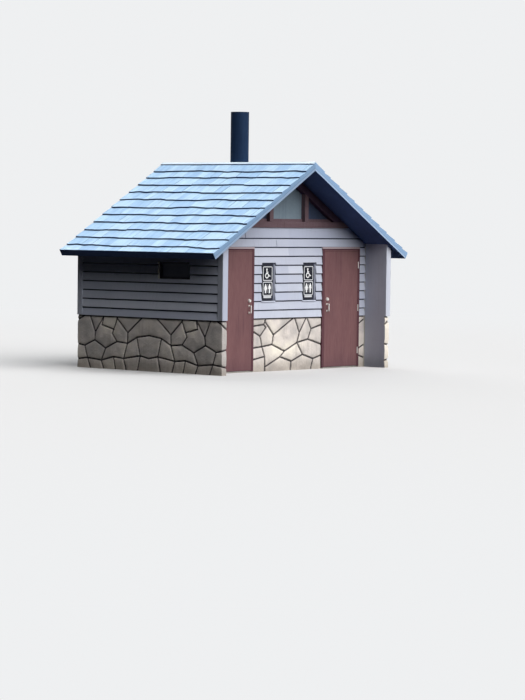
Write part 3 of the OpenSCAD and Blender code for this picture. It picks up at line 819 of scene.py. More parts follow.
# %% Roof sizes
ROOF_EDGE = 1
SOFFIT = 2
roof_low, roof_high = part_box("roof_left")
ridge_z = roof_high.z
roof_front, roof_rear = roof_low.y, roof_high.y
roof_t = 0.120
course_w = 0.255
course_low = 0.185
course_top = 0.280
shake_step = 0.020
slope_len = -roof_low.x / math.cos(pitch)
soffit_peak = ridge_z - roof_t / math.cos(pitch)
eave_s = slope_len - roof_t * math.tan(pitch)
edges = np.arange(slope_len - course_low, course_top + course_w / 2, -course_w)[::-1]
edges = np.concatenate([[0.0, course_top], edges, [slope_len]])
courses = len(edges) - 1
butt_r = 0.004
shadow_w = 0.019
cap_line = np.array([0.052, 0.056, 0.074, 0.078])
print("courses:", courses, "with lower edges", np.round(edges[1:], 3).tolist(), "m down the slope")


# %% [markdown]
# The mould imitates shakes that are split from a log, so their widths are uneven and each has its own edge.
# The widths of a course are drawn at random from the course's own number, and the gaps, the hang and the
# tone all follow from the same draw, so they agree wherever they are asked for.

# %% Shakes in a course
shake_count = 34
shake_tone = 0.45


def shake_ends(y, course):
    """Number of the shake at each place of a course, distance to the nearest gap, and hang from -1 to 1."""
    rng = np.random.default_rng(300 + course)
    widths = rng.uniform(0.14, 0.52, shake_count)
    cuts = roof_front - 0.3 + np.cumsum(widths)
    index = np.searchsorted(cuts, y)
    sides = [np.abs(y - cuts[np.clip(index - k, 0, shake_count - 1)]) for k in (0, 1)]
    gap = np.minimum(*sides)
    hang = rng.uniform(-1, 1, shake_count + 1)[index]
    return index, gap, hang


def lower_edge(y, course, seed):
    """How far a course's lower edge moves down: 7 mm by its shakes, and up to 31 mm by two slow wanders."""
    _, _, hang = shake_ends(y, course)
    row = y * 0 + course * 3.1
    return 0.007 * hang + 0.020 * wander(y, row, 0.50, seed) + 0.011 * wander(y, row, 0.17, seed + 1)


third_course = shake_ends(np.linspace(roof_front, roof_rear, 300), 2)[0]
print("shakes across the third course:", len(np.unique(third_course)))


# %% [markdown]
# The rows of a slab follow its courses: one at each edge, some for the shadow under the course above, and a
# few between. The right slab has a round hole for the stack. Rows through the hole's middle and its sides
# are added there, and two pairs where the courses end at the flat bed of the flashing.

# %% Rows of a slab
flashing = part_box("stack_flashing")
hole_x = (flashing[0].x + flashing[1].x) / 2
hole_y = (flashing[0].y + flashing[1].y) / 2
hole_s = hole_x / math.cos(pitch)
hole_r = 0.164
bed = (flashing[1].y - flashing[0].y) / 2 + 0.020
bed_lines = [k * (bed + e) for k in (-1, 1) for e in (-0.0005, 0.0005)]


def slab_rows(side):
    """Rows of a slab as four lists: distance s down the slope, share t of the course, course and depth.

    Within a course the depth falls evenly from the step to nothing, and its last row rounds the lower edge.
    A row that lies within 7 mm of one of the hole's gives way to it, unless it is a course's edge.
    """
    by_course = []
    for k, (high, low) in enumerate(zip(edges[:-1], edges[1:])):
        wide = low - high
        first = np.array([0.006, shadow_w, shadow_w + 0.009]) if k else cap_line
        along = np.r_[0.0, first, 0.3 * wide, 0.6 * wide, wide - 0.03, wide - butt_r, wide]
        fall = shake_step * (1 - along / wide) * (k > 0)
        fall[-1] = 0.0015 if k < courses - 1 else 0.0
        by_course.append([high + along, along / wide, np.full(len(along), k), fall])
    s, t, course, depth = (np.concatenate(v) for v in zip(*by_course))
    if side < 0:
        return s, t, course, depth
    through_hole = [hole_s + k * hole_r / math.cos(pitch) for k in (-1, 0, 1)]
    clear = np.min(np.abs(s[:, None] - np.array(through_hole)), axis=1) > 0.007
    clear |= np.isin(s, edges)
    more = np.array(through_hole + [hole_s + v for v in bed_lines])
    k = np.searchsorted(edges, more) - 1
    t_more = (more - edges[k]) / (edges[k + 1] - edges[k])
    order = np.argsort(np.r_[s[clear], more] + np.r_[course[clear] * 1e-6, k * 1e-6], kind="stable")
    pairs = ((s, more), (t, t_more), (course, k), (depth, shake_step * (1 - t_more) * (k > 0)))
    return [np.r_[by_rule[clear], added][order] for by_rule, added in pairs]


print("rows on the left and right slab:", [len(slab_rows(side)[0]) for side in (-1, 1)])


# %% [markdown]
# The relief is worked out for all points at once. A point slides down the slope with the lower edge of its
# own course, and near its top with the edge of the course above, so that no step is torn. The shadow under
# each step is painted as well as modelled, and its lower rim fades in and out, because a shadow of even
# width would look drawn.

# %% Relief of the shakes
thick_shadow = 0.6
gap_depth = 0.005


def shake_relief(y, s, t, course, depth, seed):
    """Slide down the slope, depth, shadow, gap mask and tone of the shakes.

    The gaps add gap_depth where the shake hangs low, and are nearly closed elsewhere. A shake that hangs
    high lies a little deeper, and a fine wander wears the face.
    """
    shift, gap_mask, tone = (np.zeros(s.shape) for _ in range(3))
    for k in range(courses):
        rows = course[:, 0] == k
        yk, tk = y[rows], t[rows]
        slant = np.random.default_rng(500 + k).uniform(-0.03, 0.03)
        index, gap, hang = shake_ends(yk + slant * (tk - 0.5), k)
        own = lower_edge(yk, k, seed) * ease(tk, 0.4, 0.95) if k < courses - 1 else 0.0
        above = lower_edge(yk, k - 1, seed) * (1 - ease(tk, 0.1, 0.6)) if k > 0 else 0.0
        shift[rows] = own + above
        gap_mask[rows] = (1 - ease(gap, 0.003, 0.010)) * ease(tk, 0.02, 0.08) * (0.15 + 0.85 * (hang > 0.4))
        tone[rows] = shake_tone * np.sin(index * 2.4 + k * 1.7)
        depth[rows] += 0.0014 * (1 - hang) * (tk > 0.05) * (tk < 1)
    below = t * np.take(np.diff(edges), course)
    thick = thick_shadow * ease(wander(y, course * 2.7, 0.27, seed + 3), -0.1, 0.8)
    dark = np.where(below < shadow_w - 0.002, 1.0, np.where(below < shadow_w + 0.002, thick, t > 0.9999))
    groove = np.where((s < 0.01) | (s > slope_len - 0.01), 0.0, dark)
    # Painted shadow under the ridge cap's edge.
    cap_painted_shadow = (s > cap_line[0] + 0.001) & (s < cap_line[3] - 0.001)
    groove = np.where((course == 0) & (t < 0.5), cap_painted_shadow, groove)
    depth = depth + gap_depth * gap_mask + 0.0008 * (1 + wander(y, s, 0.09, seed + 5))
    return shift, depth, groove, gap_mask, tone


print("gaps are up to", round(gap_depth * 1000, 1), "mm deep")


# %% [markdown]
# The rest of a slab is flat: two ends, two edges and the soffit. On the right slab the soffit is cut round
# the hole in four faces, and a ring of small faces joins it to the edge of the hole above.

# %% Closing a slab
def slab_caps(side, skin, ys, s_rows):
    """More points, faces and face materials that close a slab under its skin."""
    n = np.arange(skin.shape[0] * skin.shape[1]).reshape(skin.shape[:2])
    soffit_x = eave_s * math.cos(pitch)
    low_z = soffit_peak - soffit_x * slope
    extra = [
        (0, roof_front, soffit_peak), (0, roof_rear, soffit_peak),
        (side * soffit_x, roof_rear, low_z), (side * soffit_x, roof_front, low_z),
    ]
    top_front, top_rear, low_rear, low_front = n.size + np.arange(4)
    caps = [
        np.r_[n[0, :], top_rear, top_front], np.r_[n[-1, :], low_rear, low_front],
        np.r_[n[:, 0], low_front, top_front], np.r_[n[:, -1], low_rear, top_rear],
    ]
    # The eave's end takes the soffit's dark blue, which is painted shade.
    kinds = [ROOF_EDGE, SOFFIT, ROOF_EDGE, ROOF_EDGE]
    if side < 0:
        return extra, caps + [np.r_[top_front, top_rear, low_rear, low_front]], kinds + [SOFFIT]
    c0, c1 = (int(np.argmin(np.abs(ys - hole_y - e * hole_r))) for e in (-1, 1))
    r0, r1 = (int(np.argmin(np.abs(s_rows * math.cos(pitch) - hole_x - e * hole_r))) for e in (-1, 1))
    ring = np.r_[n[r0, c0:c1], n[r0:r1, c1], n[r1, c1:c0:-1], n[r1:r0:-1, c0]]
    rim = skin.reshape(-1, 3)[ring]
    under = np.stack([rim[:, 0], rim[:, 1], soffit_peak - np.abs(rim[:, 0]) * slope], -1)
    lower = n.size + len(extra) + np.arange(len(ring))
    extra = np.concatenate([np.array(extra), under])
    caps += [np.array(q) for q in np.stack([ring, np.roll(ring, -1), np.roll(lower, -1), lower], -1)]
    q1, q2, q3 = c1 - c0, c1 - c0 + r1 - r0, 2 * (c1 - c0) + r1 - r0
    loop = np.r_[lower, lower[0]]
    caps += [
        np.r_[top_front, top_rear, loop[:q1 + 1][::-1]], np.r_[top_rear, low_rear, loop[q1:q2 + 1][::-1]],
        np.r_[low_rear, low_front, loop[q2:q3 + 1][::-1]], np.r_[low_front, top_front, loop[q3:][::-1]],
    ]
    return extra, caps, kinds + [ROOF_EDGE] * len(ring) + [SOFFIT] * 4


print("the soffit ends", round(eave_s * math.cos(pitch), 3), "m from the middle")


# %% [markdown]
# Now a slab can be put together. The square of cells round the stack is left out, and the grid near it is
# drawn towards a circle, so the hole is round without a boolean. The bed of the flashing stays flat, and
# the wander of the courses fades out before it.

# %% Roof slabs
bed_fade = 0.10
pull_reach = 1.4


def roof_slab(side, seed):
    """Roof slab with moulded shakes, side -1 for the left and 1 for the right.

    A point is given by its distance s down the slope and its depth d square to it. In plan it lies at
    s cos(pitch) - d sin(pitch), and under the ridge by s sin(pitch) + d cos(pitch).
    """
    beds = [hole_y + v for v in bed_lines] if side > 0 else []
    ys = grid_lines(roof_front, roof_rear, 0.0115, [hole_y - hole_r, hole_y, hole_y + hole_r], beds)
    s_rows, t_rows, course_rows, depth_rows = slab_rows(side)
    y, s = np.meshgrid(ys, s_rows)
    t, course, depth = (np.repeat(v[:, None], len(ys), 1) for v in (t_rows, course_rows, depth_rows))
    shift, depth, groove, gap_mask, tone = shake_relief(y, s, t, course, depth, seed)
    held = (s < 1e-6) | (s > slope_len - 1e-6)
    if side > 0:
        near = (np.abs(y - hole_y) < bed) & (np.abs(s - hole_s) < bed)
        far = np.maximum(np.abs(y - hole_y) - bed, np.abs(s - hole_s) - bed)
        shift = shift * ease(far, 0.0, bed_fade)
        depth, groove, gap_mask, tone = (np.where(near, 0.0, v) for v in (depth, groove, gap_mask, tone))
    depth = np.where(held | ((course == 0) & (s < 0.06)), 0.0, depth)
    s = s + np.where(held, 0.0, shift)
    px, py = s * math.cos(pitch) - depth * math.sin(pitch), y.copy()
    keep = np.ones((s.shape[0] - 1, s.shape[1] - 1), bool)
    if side > 0:
        across, along = px - hole_x, py - hole_y
        square = np.maximum(np.abs(across), np.abs(along))
        round_r = np.hypot(across, along)
        reach = pull_reach * hole_r
        pull = 1 + (square / np.maximum(round_r, 1e-9) - 1) * (1 - ease(square, hole_r, reach))
        moved = hole_x + across * pull
        s = s + np.where(square < reach, (moved - px) / math.cos(pitch), 0.0)
        px, py = np.where(square < reach, moved, px), hole_y + along * pull
        keep = ~cells_between(ys, s_rows * math.cos(pitch),
                              (hole_y - hole_r, hole_y + hole_r, hole_x - hole_r, hole_x + hole_r))
    pz = ridge_z - s * math.sin(pitch) - depth * math.cos(pitch)
    skin = np.stack([side * px, py, pz], -1)
    extra, caps, kinds = slab_caps(side, skin, ys, s_rows)
    # The gaps between shakes are painted darker as well: painted shade.
    shade = np.clip(np.maximum(groove, 0.60 * gap_mask), 0, 1)
    return closed_panel(sided(side, "roof_shakes"), skin, keep, extra, caps, kinds,
                        tags={"groove": shade, "tone": tone})


for side, node in ((-1, "roof_left"), (1, "roof_right")):
    slab = roof_slab(side, 120 + side)
    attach(slab, "root")
    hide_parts(node)


# %% [markdown]
# The doors are flush steel leaves. What shows is a seam under the top channel, edges that are folded and
# not sharp, and sheet that is never quite flat, so light slides over it in faint waves. The same closed
# panel does it: the depth is a quarter circle near the edges, a narrow dip at the seam and a slow wander
# between.

# %% Door leaves
fold_r = 0.0022
seam_drop = 0.023


def door_leaf(side):
    """Leaf with folded edges, seam and faint waves.

    Within r = fold_r of an edge the face falls back by r - sqrt(r^2 - (r - distance)^2), a quarter circle.
    """
    low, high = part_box(sided(side, "door_leaf"))
    bend = fold_r * np.array([0.06, 0.3, 0.65, 1.0])
    seam = high.z - seam_drop + np.array([-0.0025, -0.0015, 0.0015, 0.0025])
    us = grid_lines(low.x, high.x, 0.030, low.x + bend, high.x - bend)
    zs = grid_lines(low.z, high.z, 0.030, low.z + bend, high.z - bend, seam)
    u, z = np.meshgrid(us, zs)
    to_edge = np.minimum.reduce([u - low.x, high.x - u, z - low.z, high.z - z])
    short = np.clip(fold_r - to_edge, 0, fold_r)
    depth = fold_r - np.sqrt(fold_r ** 2 - short ** 2)
    dip = 1 - ease(np.abs(z - seam[1:3].mean()), 0.0014, 0.0026)
    wave = 0.0004 * (1 + wander(u, z, 0.42, 11)) * ease(to_edge, 0, 0.05)
    depth = depth + 0.0012 * dip * (to_edge > 0.001) + wave
    skin = np.stack([u, low.y + depth, z], -1)
    n = np.arange(u.size).reshape(u.shape)
    extra = [(low.x, high.y, low.z), (high.x, high.y, low.z), (high.x, high.y, high.z),
             (low.x, high.y, high.z)]
    a, b, c, d = n.size + np.arange(4)
    caps = [np.r_[n[0, :], b, a], np.r_[n[:, -1], c, b], np.r_[n[-1, ::-1], d, c], np.r_[n[::-1, 0], a, d],
            np.r_[a, b, c, d]]
    keep = np.ones((len(zs) - 1, len(us) - 1), bool)
    # The seam's dip is also painted darker: painted shade.
    return closed_panel(sided(side, "door_sheet"), skin, keep, extra, caps, [0] * len(caps),
                        tags={"groove": dip * (to_edge > 0.001)})


leaves = []
for side, body in ((-1, "left_door"), (1, "right_door")):
    leaf = door_leaf(side)
    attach(leaf, body)
    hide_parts(sided(side, "door_leaf"))
    leaves.append(leaf)


# %% [markdown]
# The signs are plates with raised white figures, cut from thin sheet. Each figure is a few plates laid side
# by side, so one class collects plates and makes a single mesh of them. A plate is a loop of points at the
# front, the same loop at the back, and faces between the two.

# %% Thin plates
class Plates:
    """Collects thin closed plates, all facing -Y, and makes one mesh of them."""

    def __init__(self, face_y):
        self.face_y = face_y
        self.points, self.faces = [], []

    def layers(self, loop, height):
        """Puts a loop's points at the front and again at the back, and gives the first one's number."""
        base = sum(len(p) for p in self.points)
        for y in (self.face_y - height, self.face_y):
            self.points.append(np.insert(loop, 1, y, axis=1))
        return base

    def ring(self, outer, inner, height):
        """Plate between two loops of the same number of points, such as a frame."""
        count = len(outer)
        base = self.layers(np.concatenate([outer, inner]), height)
        i = np.arange(count)
        j = (i + 1) % count
        fo, fi, bo, bi = (base + k * count for k in range(4))
        for a, b in ((fo, fi), (bi, bo), (fi, bi), (bo, fo)):
            self.faces += np.stack([a + i, a + j, b + j, b + i], -1).tolist()

    def plate(self, loop, height):
        """Plate inside one loop."""
        front = self.layers(loop, height) + np.arange(len(loop))
        back = front + len(loop)
        self.faces += [front.tolist(), back[::-1].tolist()]
        self.faces += np.stack([front, back, np.roll(back, -1), np.roll(front, -1)], -1).tolist()

    def make(self, name):
        """The mesh object of all plates so far."""
        mesh = bpy.data.meshes.new(name)
        mesh.from_pydata(np.concatenate(self.points).tolist(), [], self.faces)
        piece = bpy.data.objects.new(name, mesh)
        bpy.context.scene.collection.objects.link(piece)
        turn_outwards(piece)
        return piece


print("what a set of plates can do:", [name for name in vars(Plates) if not name.startswith("_")])


# %% [markdown]
# The outlines are loops of points in the plane of the sign. Rectangles with round corners, bars with round
# ends, circles and bent bars are enough for both figures and for the rims, and each has a formula of its
# own.

# %% Outlines
def round_box(x, z, half_x, half_z, radius):
    """Loop of a rectangle with round corners: eight points to a quarter circle."""
    turn = np.linspace(0, math.pi / 2, 8)
    loop = []
    for k, (sx, sz) in enumerate(((1, 1), (-1, 1), (-1, -1), (1, -1))):
        a = turn + k * math.pi / 2
        loop.append(np.stack([x + sx * (half_x - radius) + radius * np.cos(a),
                              z + sz * (half_z - radius) + radius * np.sin(a)], -1))
    return np.concatenate(loop)


def limb(a, b, width):
    """Loop of a bar with round ends from a to b: two half circles."""
    a, b = np.array(a), np.array(b)
    lie = math.atan2(b[1] - a[1], b[0] - a[0])
    half = np.linspace(-math.pi / 2, math.pi / 2, 9)
    ends = []
    for middle, turn in ((b, lie), (a, lie + math.pi)):
        ends.append(middle + width / 2 * np.stack([np.cos(half + turn), np.sin(half + turn)], -1))
    return np.concatenate(ends)


def disc(x, z, radius):
    """Loop of a circle."""
    a = np.linspace(0, 2 * math.pi, 24, endpoint=False)
    return np.stack([x + radius * np.cos(a), z + radius * np.sin(a)], -1)


def arc(x, z, radius, width, start, stop):
    """Loop of a bar bent round a centre, from start to stop in degrees."""
    a = np.radians(np.linspace(start, stop, 28))
    out = np.stack([np.cos(a), np.sin(a)], -1)
    return np.concatenate([(x, z) + (radius + width / 2) * out, (x, z) + (radius - width / 2) * out[::-1]])


print("points of a disc and of an arc:", len(disc(0, 0, 1)), "and", len(arc(0, 0, 2, 1, 0, 90)))


# %% [markdown]
# A seated figure with a wheel is set above two standing figures. They are common figures that any workshop
# cuts, so they are drawn from round heads, straight limbs, plain bodies and an arc. Every length is a share
# of the figure's height, and where plates overlap, the later one stands a tenth of a millimetre higher, so
# no faces coincide.

# %% Figures
def seated_figure(plates, x, z, h):
    """Seated figure with a wheel, about h high, round the middle (x, z)."""
    at = lambda a, b: (x + a * h, z + b * h)
    plates.plate(disc(*at(-0.12, 0.385), 0.095 * h), 0.0010)
    plates.plate(limb(at(-0.125, 0.25), at(-0.105, 0.0), 0.130 * h), 0.0011)
    plates.plate(limb(at(-0.11, 0.15), at(0.07, 0.13), 0.060 * h), 0.0012)
    plates.plate(limb(at(-0.09, 0.09), at(0.27, -0.24), 0.085 * h), 0.0013)
    plates.plate(limb(at(0.27, -0.25), at(0.33, -0.23), 0.085 * h), 0.0014)
    plates.plate(arc(*at(-0.108, -0.19), 0.205 * h, 0.100 * h, 100, 385), 0.0015)


def standing_figure(plates, x, z, h, skirt):
    """Standing figure about h high round the middle (x, z), with a skirt or with plain legs."""
    at = lambda a, b: (x + a * h, z + b * h)
    plates.plate(disc(*at(0, 0.37), 0.090 * h), 0.0010)
    reach = 0.180 if skirt else 0.160
    hem = (0.180, -0.15) if skirt else (0.105, -0.05)
    for s in (-1, 1):
        plates.plate(limb(at(s * 0.050, 0.0), at(s * 0.052, -0.38), 0.100 * h), 0.0011)
        plates.plate(limb(at(s * 0.115, 0.24), at(s * reach, 0.02), 0.070 * h), 0.0012)
    body = [at(-0.125, 0.31), at(0.125, 0.31), at(*hem), at(-hem[0], hem[1])]
    plates.plate(np.array(body), 0.0013)


print("figures:", [figure.__name__ for figure in (seated_figure, standing_figure)])


# %% [markdown]
# Each sign has two framed plates with their figures, and a bare strip below them. The plates' places come
# from the model's boxes, and the rims and figures lie on the plates' front.

# %% Signs
lower_sign = 0.245
sign_gap = 0.009
rim_inset = 0.003
rim_w = 0.0145
rim_r = 0.028
seated_h = 0.185
standing_h = 0.178
standing_x = 0.050
strip_up = 0.0525
strip_half_x = 0.0975
strip_half_z = 0.0165
signs = []
for side in (-1, 1):
    low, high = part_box(sided(side, "sign_plaques"))
    board_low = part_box(sided(side, "sign_board"))[0]
    x = (low.x + high.x) / 2
    half = (high.x - low.x) / 2
    lower_top = low.z + lower_sign
    upper_low = lower_top + sign_gap
    plates, rims, strip = Plates(low.y), Plates(low.y), Plates(board_low.y)
    for z0, z1 in ((low.z, lower_top), (upper_low, high.z)):
        z, half_z = (z0 + z1) / 2, (z1 - z0) / 2
        inside = rim_inset + rim_w
        rims.ring(round_box(x, z, half - rim_inset, half_z - rim_inset, rim_r),
                  round_box(x, z, half - inside, half_z - inside, rim_r - rim_w), 0.0010)
    seated_figure(plates, x, (upper_low + high.z) / 2, seated_h)
    middle = (low.z + lower_top) / 2
    for s, skirt in ((-1, True), (1, False)):
        standing_figure(plates, x + s * standing_x, middle, standing_h, skirt)
    plates.plate(limb((x, middle - 0.070), (x, middle + 0.078), 0.0035), 0.0010)
    strip.plate(round_box(x, board_low.z + strip_up, strip_half_x, strip_half_z, 0.004), 0.0015)
    for made, label in ((plates, "sign_figures"), (strip, "sign_strip"), (rims, "sign_rims")):
        piece = made.make(sided(side, label))
        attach(piece, "root")
        signs.append(piece)
print("sign pieces:", len(signs))


# %% [markdown]
# Now the finishes. Colours are written as they look on a screen, in 0 to 255, and turned into the linear
# values that a shader works with. A few effects are needed by nearly every material here, so each is built
# once as a node group and placed with its own values.

# %% Helpers for finishes
def colour(red, green, blue):
    """Linear colour from screen values: v / 12.92 when dark, and ((v + 0.055) / 1.055) ^ 2.4 otherwise."""
    v = np.array([red, green, blue]) / 255
    linear = np.where(v <= 0.04045, v / 12.92, ((v + 0.055) / 1.055) ** 2.4)
    return (*[float(c) for c in linear], 1.0)


def new_group(name, inputs, outputs):
    """Empty node group with its sockets: (label, kind, value) for an input, (label, kind) for an output."""
    tree = bpy.data.node_groups.new(name, "ShaderNodeTree")
    for label, kind, value in inputs:
        socket = tree.interface.new_socket(label, in_out="INPUT", socket_type="NodeSocket" + kind)
        socket.default_value = value
    for label, kind in outputs:
        tree.interface.new_socket(label, in_out="OUTPUT", socket_type="NodeSocket" + kind)
    return tree, tree.nodes.new("NodeGroupInput").outputs, tree.nodes.new("NodeGroupOutput").inputs


def blend_colours(tree, share, first, second):
    """First colour where share is 0, second where it is 1."""
    mixed = add(tree, "ShaderNodeMix", {"Factor": share}, data_type="RGBA", clamp_factor=True)
    for socket, value in ((mixed.inputs[6], first), (mixed.inputs[7], second)):
        if isinstance(value, bpy.types.NodeSocket):
            tree.links.new(value, socket)
        else:
            socket.default_value = value
    return mixed.outputs[2]


print("a mid grey of 128 is", round(colour(128, 128, 128)[0], 4), "in linear light")


# %% [markdown]
# Paint and concrete are never one even colour. Mottling is soft noise in Object coordinates, which on these
# pieces are real metres in the hut's own frame, so the patches have the same size on every piece. A texture
# picture would need unwrapping and would show its seams.

# %% Node group: mottling
mottle, given, result = new_group(
    "mottling", [("Stretch", "Vector", (1, 1, 1)), ("Scale", "Float", 3.0), ("Detail", "Float", 4.0)],
    [("Value", "Float")])
place = add(mottle, "ShaderNodeTexCoord").outputs["Object"]
pulled = add(mottle, "ShaderNodeVectorMath", {0: place, 1: given["Stretch"]}, operation="MULTIPLY")
cloud = add(mottle, "ShaderNodeTexNoise", {"Vector": pulled.outputs[0], "Scale": given["Scale"],
                                           "Detail": given["Detail"], "Roughness": 0.55})
mottle.links.new(spread(mottle, cloud.outputs["Fac"], 0.32, 0.68), result["Value"])
print("mottling:", len(mottle.nodes), "nodes")


# %% [markdown]
# Rain leaves streaks down a wall. They are noise that is fine across the wall and long down it, thinned by
# a second, broader noise, so that the streaks come in groups with clean paint between.

# %% Node group: rain streaks
streaks, given, result = new_group(
    "rain_streaks", [("Fineness", "Float", 26.0), ("Length", "Float", 0.035)], [("Value", "Float")])
place = add(streaks, "ShaderNodeTexCoord").outputs["Object"]
across = add(streaks, "ShaderNodeCombineXYZ", {0: 1.0, 1: 1.0, 2: given["Length"]}).outputs[0]
drawn = add(streaks, "ShaderNodeVectorMath", {0: place, 1: across}, operation="MULTIPLY").outputs[0]
fine = add(streaks, "ShaderNodeTexNoise", {"Vector": drawn, "Scale": given["Fineness"], "Detail": 5.0})
broad = add(streaks, "ShaderNodeTexNoise", {"Vector": place, "Scale": 1.7, "Detail": 3.0})
thin = maths(streaks, "MULTIPLY", spread(streaks, fine.outputs["Fac"], 0.47, 0.70),
             spread(streaks, broad.outputs["Fac"], 0.38, 0.66))
streaks.links.new(thin, result["Value"])
print("rain streaks:", len(streaks.nodes), "nodes")


# %% [markdown]
# Rain also throws up dirt from the ground. It is full at the ground and gone at the given height, with a
# ragged edge from noise. A straight gradient would look sprayed on.

# %% Node group: ground splash
splash, given, result = new_group(
    "ground_splash", [("Height", "Float", 0.30), ("Raggedness", "Float", 0.16)], [("Value", "Float")])
place = add(splash, "ShaderNodeTexCoord").outputs["Object"]
level = add(splash, "ShaderNodeSeparateXYZ", {0: place}).outputs[2]
patch = add(splash, "ShaderNodeTexNoise", {"Vector": place, "Scale": 7.0, "Detail": 6.0}).outputs["Fac"]
ragged = maths(splash, "ADD", level, maths(splash, "MULTIPLY", maths(splash, "SUBTRACT", patch, 0.5),
                                           given["Raggedness"]))
fall = add(splash, "ShaderNodeMapRange", {"Value": ragged, "From Min": given["Height"], "From Max": 0.0},
           interpolation_type="SMOOTHSTEP").outputs["Result"]
splash.links.new(fall, result["Value"])
print("ground splash:", len(splash.nodes), "nodes")


# %% [markdown]
# Up close, paint and concrete have a grain that is too fine to model. Two sizes of noise are mixed for it,
# and the finish turns them into a slight bump.

# %% Node group: fine grain
grain, given, result = new_group(
    "fine_grain", [("Coarse", "Float", 60.0), ("Fine", "Float", 320.0), ("Share", "Float", 0.5)],
    [("Height", "Float")])
place = add(grain, "ShaderNodeTexCoord").outputs["Object"]
noises = []
for label, detail in (("Coarse", 3.0), ("Fine", 2.0)):
    made = add(grain, "ShaderNodeTexNoise", {"Vector": place, "Scale": given[label], "Detail": detail})
    noises.append(made.outputs["Fac"])
both = add(grain, "ShaderNodeMix", {"Factor": given["Share"], "A": noises[0], "B": noises[1]})
grain.links.new(both.outputs[0], result["Height"])
print("fine grain:", len(grain.nodes), "nodes")


# %% [markdown]
# Some pieces change colour at a level: the door frames have a pale head, and the roof's edges a paler lower
# part. This group gives how high a point lies, and how deep it lies square to the roof's upper face.

# %% Node group: levels
levels, given, result = new_group("levels", [], [("Height", "Float"), ("Roof depth", "Float")])
place = add(levels, "ShaderNodeTexCoord").outputs["Object"]
xyz = add(levels, "ShaderNodeSeparateXYZ", {0: place}).outputs
down = maths(levels, "MULTIPLY", maths(levels, "SUBTRACT", ridge_z, xyz[2]), math.cos(pitch))
aside = maths(levels, "MULTIPLY", maths(levels, "ABSOLUTE", xyz[0], 0.0), math.sin(pitch))
levels.links.new(xyz[2], result["Height"])
levels.links.new(maths(levels, "SUBTRACT", down, aside), result["Roof depth"])
print("node groups:", [g.name for g in bpy.data.node_groups])


# %% [markdown]
# A material is put together from those groups. The first colour is the paint as it shows in the photo's
# light, the second the same paint where it has faded or gathered dirt. Grooves and joints come from a value
# that the relief's own formula left on each point, so the dark lines sit exactly in the relief.

# %% Building a finish
def placed(tree, group, **values):
    """A group in a material's tree, with its own values."""
    return add(tree, "ShaderNodeGroup", values, node_tree=group)


def finish(name, main, faded, dirt, rough=(0.55, 0.75), size=2.2, stretch=(1, 1, 1), fade=0.5, streak=0.35,
           splashed=0.0, grain_mm=0.6, grain_scale=60.0, groove=None, tones=None, band=None, **shader):
    """Painted or mineral finish. Colours are screen values.

    main and faded are mixed by mottling, dirt is added by rain streaks and ground splash, groove is the
    colour of grooves, and tones is a pair of colours that each stone or shake leans towards. band is (label,
    edge, colour) for what lies beyond that value of the levels group. shader holds plain values.
    """
    main, faded, dirt = colour(*main), colour(*faded), colour(*dirt)
    made = bpy.data.materials.new(name)
    made.use_nodes = True
    tree = made.node_tree
    skin = tree.nodes["Principled BSDF"]
    for key, value in shader.items():
        skin.inputs[key.replace("_", " ")].default_value = value
    patches = placed(tree, mottle, Stretch=stretch, Scale=size, Detail=5.0).outputs["Value"]
    specks = placed(tree, mottle, Stretch=stretch, Scale=size * 11, Detail=4.0).outputs["Value"]
    mixed = maths(tree, "ADD", maths(tree, "MULTIPLY", patches, 0.7), maths(tree, "MULTIPLY", specks, 0.3))
    look = blend_colours(tree, maths(tree, "MULTIPLY", mixed, fade), main, faded)
    if tones:
        tone = add(tree, "ShaderNodeAttribute", attribute_name="tone").outputs["Fac"]
        for sign, lean in zip((1.0, -1.0), tones):
            share = maths(tree, "MULTIPLY", tone, sign, clamp=True)
            look = blend_colours(tree, share, look, colour(*lean))
    for amount, group in ((streak, streaks), (splashed, splash)):
        if amount:
            share = maths(tree, "MULTIPLY", placed(tree, group).outputs["Value"], amount)
            look = blend_colours(tree, share, look, dirt)
    if band:
        label, edge, beyond = band
        level = placed(tree, levels).outputs[label]
        look = blend_colours(tree, spread(tree, level, edge - 0.002, edge + 0.002), look, colour(*beyond))
        off = maths(tree, "ABSOLUTE", maths(tree, "SUBTRACT", level, edge), 0.0)
        look = blend_colours(tree, spread(tree, off, 0.006, 0.003), look, dirt)
    if groove:
        sunk = add(tree, "ShaderNodeAttribute", attribute_name="groove").outputs["Fac"]
        look = blend_colours(tree, sunk, look, colour(*groove))
    tree.links.new(look, skin.inputs["Base Color"])
    sheen = add(tree, "ShaderNodeMapRange", {"Value": specks, "To Min": rough[0], "To Max": rough[1]})
    tree.links.new(sheen.outputs["Result"], skin.inputs["Roughness"])
    height = placed(tree, grain, Coarse=grain_scale, Fine=grain_scale * 5).outputs["Height"]
    bump = add(tree, "ShaderNodeBump", {"Height": height, "Strength": 1.0, "Distance": grain_mm / 1000})
    tree.links.new(bump.outputs["Normal"], skin.inputs["Normal"])
    return made


def paint_nodes(material, *names):
    """Gives model nodes their finish."""
    for name in names:
        if not nodes[name].material_slots:
            nodes[name].data.materials.append(material)
        for mesh_slot in nodes[name].material_slots:
            mesh_slot.material = material


print("groups a finish can use:", [group.name for group in (mottle, streaks, splash, levels, grain)])


# %% [markdown]
# The walls' paint is a pale blue grey, with grooves painted dark as painted shade and faint runs where
# rain has come down. The stones are painted or stained cream, tan and grey, stone by stone, with dark
# joints. Inside, the same concrete is smooth and painted a plain warm white.

